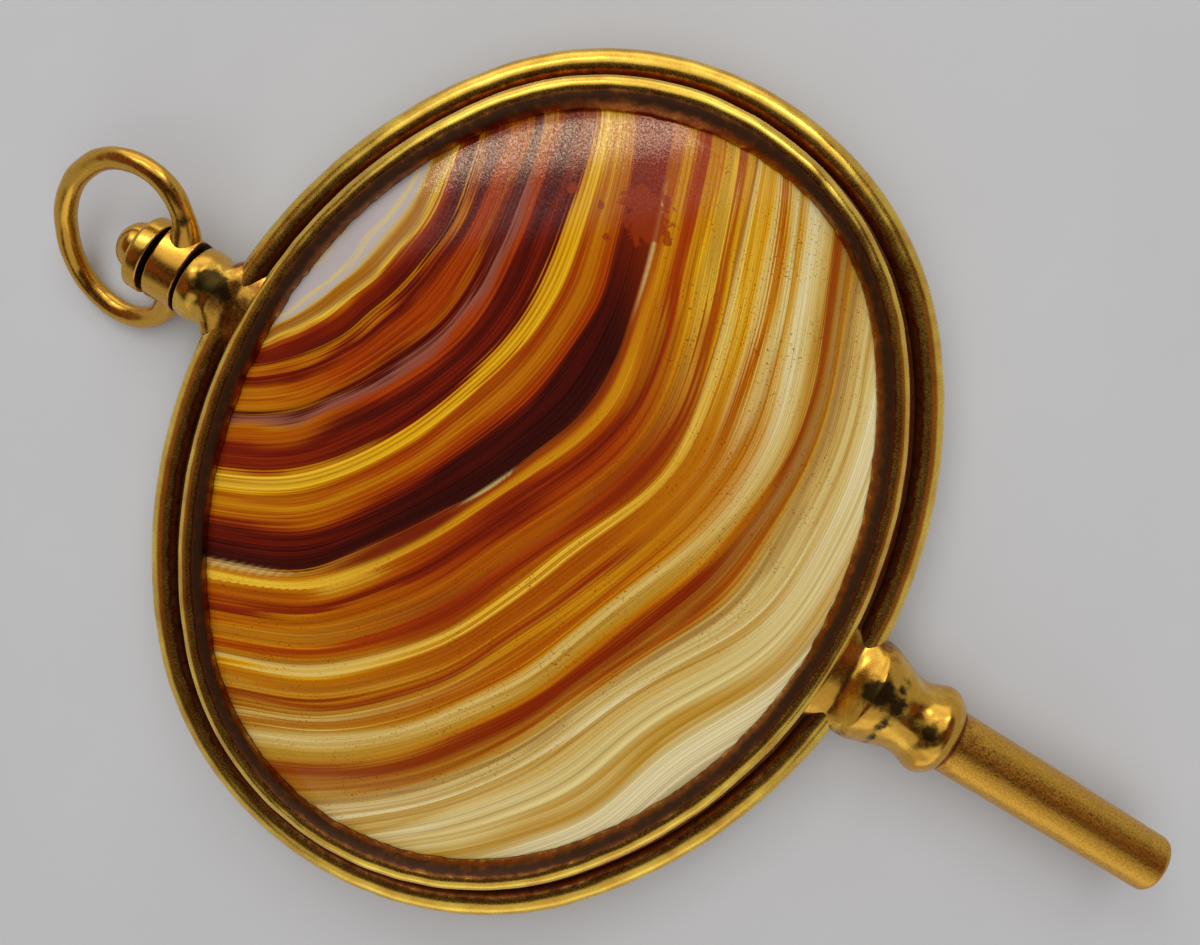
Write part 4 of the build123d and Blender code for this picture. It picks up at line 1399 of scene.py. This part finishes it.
class MakeRivet(bpy.types.Operator):
    """Turn the rivet and the washer under its head"""

    bl_idname = "watch_key.make_rivet"
    bl_label = "Swivel Rivet"

    def execute(self, context):
        bow = context.scene.watch_key_bow
        seat_x = washer_low.x
        shoulder = 0.3 * MM
        tip = 0.02 * MM
        dome_height = seat_x - rivet_low.x + SWIVEL_EXTRA - shoulder
        profile = [(seat_x - shoulder - dome_height, tip)]
        for share_x, share_radius in arc(0, 0, 1, 0, 90, 12)[1:]:
            profile.append((seat_x - shoulder - dome_height * share_x, bow.head_radius * share_radius))
        profile.append((seat_x - 0.05 * MM, bow.head_radius + 0.02 * MM))
        profile.append((seat_x + 0.05 * MM, bow.head_radius - 0.05 * MM))
        profile.append((seat_x + 0.05 * MM, bow.pin_radius))
        profile.append((rivet_high.x, bow.pin_radius))
        dents = ((rivet_low.x, 60, 0.5 * MM, 0.03 * MM),)
        points, faces = lathe(profile, bow.rivet_steps, dented(dents, 0.03 * MM))
        dirt_and_shade = []
        for point in points:
            # The shank, hidden in the washer and collar, is fully dark. The head gets darker towards the
            # washer as painted shade under it
            on_shank = point.x > seat_x and away_from_axis(point) < 1.1 * bow.pin_radius
            dirt_and_shade.append(1.0 if on_shank else smooth_step(seat_x - 0.2 * MM, seat_x, point.x))
        add_piece("swivel_rivet_gilt", "swivel_rivet", "gilt_fittings", "key", points, faces, {"dirt_and_shade": dirt_and_shade})

        outer = washer_high.y - 0.1 * MM
        hole = bow.pin_radius + SEAT_GAP
        rounding = 0.24 * MM
        inner_rounding = 0.08 * MM
        inner_x = washer_high.x + SWIVEL_EXTRA
        profile = [(seat_x, hole)]
        profile += arc(seat_x + rounding, outer - rounding, rounding, 180, 90, 6)
        profile += arc(inner_x - inner_rounding, outer - inner_rounding, inner_rounding, 90, 0, 6)
        profile.append((inner_x, hole))
        points, faces = lathe(profile, bow.washer_steps, dented((), 0.03 * MM), loop=True)
        layers = {"dirt_and_shade": []}
        for point in points:
            across = away_from_axis(point)
            # The washer is painted dark round and under the rivet's head and on its face against the collar:
            # painted shade
            head_shade = 0.9 * smooth_step(bow.head_radius + 0.35 * MM, bow.head_radius, across)
            behind = point.x > inner_x - 0.03 * MM and across < outer - 0.1 * MM
            layers["dirt_and_shade"].append(0.9 if behind else head_shade)
        add_piece("swivel_washer_gilt", "swivel_washer", "gilt_fittings", "key", points, faces, layers)
        return {"FINISHED"}


# The bow

# How far the solder between the collar and the bow rises, and its spread round the collar in radians
COLLAR_SOLDER = 0.26 * MM
COLLAR_SOLDER_SPREAD = 0.42


def bow_point(bow, u, v, w):
    """A point of the bow's own plane: u along the key, v across it and w out of the plane."""
    return Vector((u, v * cos(bow.turn) - w * sin(bow.turn), v * sin(bow.turn) + w * cos(bow.turn)))


def bow_path(bow):
    """The middle of the wire, as (u, v), from one seat on the collar round to the other."""
    collar_x = (collar_low.x + collar_high.x) / 2
    seat = bow.collar_radius - bow.flat_depth
    half_width = bow.width / 2 - bow.wire_radius
    reach = bow.reach - bow.wire_radius
    near = half_width - seat
    bow_x = collar_x - near
    join = degrees(atan2(reach, half_width))
    diagonal = hypot(half_width, reach)
    spread = (half_width - reach) * diagonal
    shoulder = (diagonal**2 - spread) / (2 * half_width)
    far = (diagonal**2 + spread) / (2 * reach)
    half = [(collar_x, seat - 0.5 * MM)]
    half += arc(bow_x, seat, near, 0, 90, 30)
    half += arc(bow_x, half_width - shoulder, shoulder, 90, 180 - join, 30)[1:]
    half += arc(bow_x - reach + far, 0, far, 180 - join, 180, 20)[1:]
    return half + [(u, -v) for u, v in reversed(half[:-1])]


def bow_wire(bow):
    """Points, faces and dirt of the wire, which swells where it is soldered to the collar."""
    path = bow_path(bow)
    seat = bow.collar_radius - bow.flat_depth
    swell_length = 1.5 * MM
    dirt_length = 0.5 * MM
    ends_x = collar_low.x - 0.9 * MM
    rings = []
    dirt_and_shade = []
    for index, (u, v) in enumerate(path):
        before = path[max(index - 1, 0)]
        after = path[min(index + 1, len(path) - 1)]
        along_u = after[0] - before[0]
        along_v = after[1] - before[1]
        size = hypot(along_u, along_v)
        height = abs(v) - seat
        swell = smooth_step(swell_length, 0, height) if u > ends_x else 0.0
        grime_and_shade = 0.5 * smooth_step(dirt_length, 0, height) if u > ends_x else 0.0
        radius = bow.wire_radius + (bow.end_radius - bow.wire_radius) * swell
        ring = []
        for angle in angles_round(bow.steps):
            out = radius * cos(angle) / size
            ring.append(bow_point(bow, u - along_v * out, v + along_u * out, radius * sin(angle)))
            dirt_and_shade.append(grime_and_shade)
        rings.append(ring)
    points, faces = loft_rings(rings)
    # The middles of the wire's two hidden ends
    dirt_and_shade += [1.0, 1.0]
    return points, faces, dirt_and_shade


def collar_bulge(bow, share):
    """Change of the collar's radius: soft lumps, and the solder under the bow's two ends."""
    def bulge(x, angle):
        change = 0.02 * MM * noise.noise(Vector((x / MM, 2 * cos(angle), 2 * sin(angle))))
        for side in (0, pi):
            turn = (angle - bow.turn - side + pi) % (2 * pi) - pi
            change += COLLAR_SOLDER * exp(-(turn / COLLAR_SOLDER_SPREAD) ** 2)
        return share * change
    return bulge


def collar_shape(bow):
    """Points and faces of the collar, which swells into solder under the bow's two ends."""
    rounding = 0.1 * MM
    outer = bow.collar_radius - 0.06 * MM
    bore_radius = bow.pin_radius + 0.05 * MM
    profile = [(collar_low.x, bore_radius), (collar_low.x, outer * 0.6)]
    profile += arc(collar_low.x + rounding, outer - rounding, rounding, 180, 90, 6)
    profile.append(((collar_low.x + collar_high.x) / 2, outer - 0.03 * MM))
    profile += arc(collar_high.x - rounding, outer - rounding, rounding, 90, 0, 6)
    profile += [(collar_high.x, outer * 0.6), (collar_high.x, bore_radius)]
    rings = []
    for x, radius in profile:
        bulge = collar_bulge(bow, smooth_step(outer * 0.55, outer, radius))
        rings.append(circle_ring(x, radius, bow.collar_steps, bulge))
    return loft_rings(rings, loop=True)


class MakeBow(bpy.types.Operator):
    """Bend the wire bow and turn the collar it is soldered to"""

    bl_idname = "watch_key.make_bow"
    bl_label = "Bow and Collar"

    def execute(self, context):
        bow = context.scene.watch_key_bow
        points, faces, dirt_and_shade = bow_wire(bow)
        layers = {"dirt_and_shade": dirt_and_shade, "tarnish": [tarnish_depth(point) for point in points]}
        points = roughen(points, 1.3 * MM, 0.035 * MM)
        points = roughen(points, 0.35 * MM, 0.01 * MM)
        add_piece("bow_ring_gilt", "bow_ring", "gilt_bow", "bow", points, faces, layers)

        points, faces = collar_shape(bow)
        layers = {"dirt_and_shade": [], "tarnish": [0.8 * tarnish_depth(point) for point in points]}
        for point in points:
            # The collar's two ends are painted dark, painted shade where it meets the washer and the neck
            end = min(point.x - collar_low.x, collar_high.x - point.x)
            layers["dirt_and_shade"].append(smooth_step(0.09 * MM, 0, end))
        points = roughen(points, 0.5 * MM, 0.012 * MM)
        add_piece("bow_collar_gilt", "bow_collar", "gilt_bow", "bow", points, faces, layers)
        return {"FINISHED"}


# The stage

LAMP_DISTANCE = 0.30
FILL_DISTANCE = 0.40

# Tints of the dark room, of the wood seen at both sides and of the glare in the stone
ROOM_TINT = (1.0, 0.45, 0.6)
WOOD_TINT = (1.0, 0.33, 0.2)
GLARE_TINT = (1.0, 0.86, 0.6)


def tilted(tilt, image_turn=90):
    """A direction, its tilt from the stone's front in degrees, towards an angle of the image."""
    across = IMAGE_RIGHT * cos(radians(image_turn)) + IMAGE_UP * sin(radians(image_turn))
    across.z = 0
    return Vector((0, 0, 1)) * cos(radians(tilt)) + across.normalized() * sin(radians(tilt))


def add_softbox(name, toward, size, radiance, colour=(1, 1, 1), distance=LAMP_DISTANCE):
    """A rectangular lamp that faces the key from a direction, hidden from the camera."""
    lamp = bpy.data.lights.new(name, "AREA")
    lamp.shape = "RECTANGLE"
    lamp.size, lamp.size_y = size
    lamp.energy = radiance * pi * size[0] * size[1]
    lamp.color = colour
    softbox = bpy.data.objects.new(name, lamp)
    softbox.location = OVAL_CENTRE + toward * distance
    upright = toward.cross(IMAGE_RIGHT).normalized()
    softbox.rotation_euler = Matrix((upright.cross(toward), upright, toward)).transposed().to_euler()
    softbox.visible_camera = False
    bpy.context.scene.collection.objects.link(softbox)
    return softbox


def light_key(stage):
    """Lamps for the windows, cards and wood that the gilding mirrors, and a fill that it doesn't. The
    glare shines on the stone only."""
    add_softbox("right_window", tilted(48, 60), (0.07, 0.05), stage.key_light)
    add_softbox("left_window", tilted(44, 106), (0.09, 0.04), stage.key_light)
    add_softbox("top_card", tilted(56), (0.34, 0.48), stage.top_card)
    add_softbox("low_card", tilted(62, 270), (0.36, 0.40), stage.low_card)
    glare = add_softbox("glare_strip", tilted(26.6, 104), (0.13, 0.034), stage.glare, GLARE_TINT)
    glossy_stone = bpy.data.collections.new("glossy_stone")
    glossy_stone.objects.link(bpy.data.objects["agate_plaque_banded"])
    glare.light_linking.receiver_collection = glossy_stone
    add_softbox("right_wood", tilted(48, -8), (0.18, 0.22), stage.side_card, WOOD_TINT)
    add_softbox("left_wood", tilted(48, 172), (0.18, 0.22), stage.side_card, WOOD_TINT)
    fill = add_softbox("overhead_fill", tilted(0), (0.5, 0.5), stage.fill, distance=FILL_DISTANCE)
    fill.visible_glossy = False


def make_room(stage):
    """A dark red-brown room over the key, with the pale paper rising behind it on all sides. Only what
    is seen, straight or in gloss, is pale: the paper gives the key no more light."""
    bench = NodeBench(bpy.data.worlds.new("room"))
    background = bench.tree.nodes["Background"]
    split = bench.node("ShaderNodeSeparateXYZ")
    bench.join(bench.node("ShaderNodeTexCoord").outputs["Generated"], split.inputs[0])
    rising = bench.remap(split.outputs["Z"], 0.5, 0.32, smooth=True)
    rays = bench.node("ShaderNodeLightPath").outputs
    mirrored = bench.math("MAXIMUM", rays["Is Glossy Ray"], rays["Is Transmission Ray"])
    paper = bench.math("MAXIMUM", bench.math("MULTIPLY", mirrored, rising), rays["Is Camera Ray"])
    room = opaque(stage.surround * share for share in ROOM_TINT)
    bench.join(bench.mix(paper, room, opaque(stage.floor_colour)), background.inputs["Color"])
    background.inputs["Strength"].default_value = 1.0
    return bench.owner


def lay_floor(stage):
    """A square of pale paper, faintly mottled, under the lowest point of the key."""
    half = stage.floor_size / 2
    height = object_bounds()[0][2]
    corners = [(-half, -half, height), (half, -half, height), (half, half, height), (-half, half, height)]
    mesh = bpy.data.meshes.new("floor")
    mesh.from_pydata(corners, [], [(0, 1, 2, 3)])
    bench = NodeBench(bpy.data.materials.new("pale_paper"))
    shader = bench.tree.nodes["Principled BSDF"]
    tone = bench.remap(bench.noise(bench.object_place(), 9 * MM, 3.0), 0.3, 0.7)
    darker = opaque(0.97 * value for value in stage.floor_colour)
    bench.join(bench.mix(tone, opaque(stage.floor_colour), darker), shader.inputs["Base Color"])
    shader.inputs["Roughness"].default_value = 0.9
    mesh.materials.append(bench.owner)
    floor = bpy.data.objects.new("floor", mesh)
    bpy.context.scene.collection.objects.link(floor)
    floor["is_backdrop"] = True


def add_camera():
    lens = bpy.data.cameras.new("photo_camera")
    lens.sensor_width = SENSOR_WIDTH
    lens.lens = SENSOR_WIDTH * PHOTO_FOCUS / PHOTO_WIDTH
    lens.clip_start = 1 * MM
    camera = bpy.data.objects.new("photo_camera", lens)
    camera.location = CAMERA_PLACE
    camera.rotation_euler = CAMERA_TURN
    bpy.context.scene.collection.objects.link(camera)
    return camera


class MakeStage(bpy.types.Operator):
    """Set the floor, the lamps, the room and the camera"""

    bl_idname = "watch_key.make_stage"
    bl_label = "Stage"

    def execute(self, context):
        stage = context.scene.watch_key_stage
        lay_floor(stage)
        light_key(stage)
        context.scene.world = make_room(stage)
        context.scene.view_settings.view_transform = "Standard"
        context.scene.camera = add_camera()
        return {"FINISHED"}


OPERATORS = (MakeRim, MakeBezels, MakeStone, MakePipe, MakeFerrule, MakeNeck, MakeRivet, MakeBow, MakeStage)


class WatchKeyPanel(bpy.types.Panel):
    """Lists the steps that build the watch key"""

    bl_idname = "VIEW3D_PT_watch_key"
    bl_label = "Watch Key"
    bl_space_type = "VIEW_3D"
    bl_region_type = "UI"
    bl_category = "Watch Key"

    def draw(self, context):
        for operator in OPERATORS:
            self.layout.operator(operator.bl_idname)


GROUPS = {
    "watch_key_rim": WatchKeyRim,
    "watch_key_stone": WatchKeyStone,
    "watch_key_pipe": WatchKeyPipe,
    "watch_key_bow": WatchKeyBow,
    "watch_key_finish": WatchKeyFinish,
    "watch_key_stage": WatchKeyStage,
}


def register():
    for name, group in GROUPS.items():
        bpy.utils.register_class(group)
        setattr(bpy.types.Scene, name, PointerProperty(type=group))
    for operator in OPERATORS:
        bpy.utils.register_class(operator)
    bpy.utils.register_class(WatchKeyPanel)


def unregister():
    bpy.utils.unregister_class(WatchKeyPanel)
    for operator in reversed(OPERATORS):
        bpy.utils.unregister_class(operator)
    for name, group in GROUPS.items():
        delattr(bpy.types.Scene, name)
        bpy.utils.unregister_class(group)


def main():
    register()
    bpy.ops.watch_key.make_rim()
    bpy.ops.watch_key.make_bezels()
    bpy.ops.watch_key.make_stone()
    bpy.ops.watch_key.make_pipe()
    bpy.ops.watch_key.make_ferrule()
    bpy.ops.watch_key.make_neck()
    bpy.ops.watch_key.make_rivet()
    bpy.ops.watch_key.make_bow()
    bpy.ops.watch_key.make_stage()


if __name__ == "__main__":
    main()
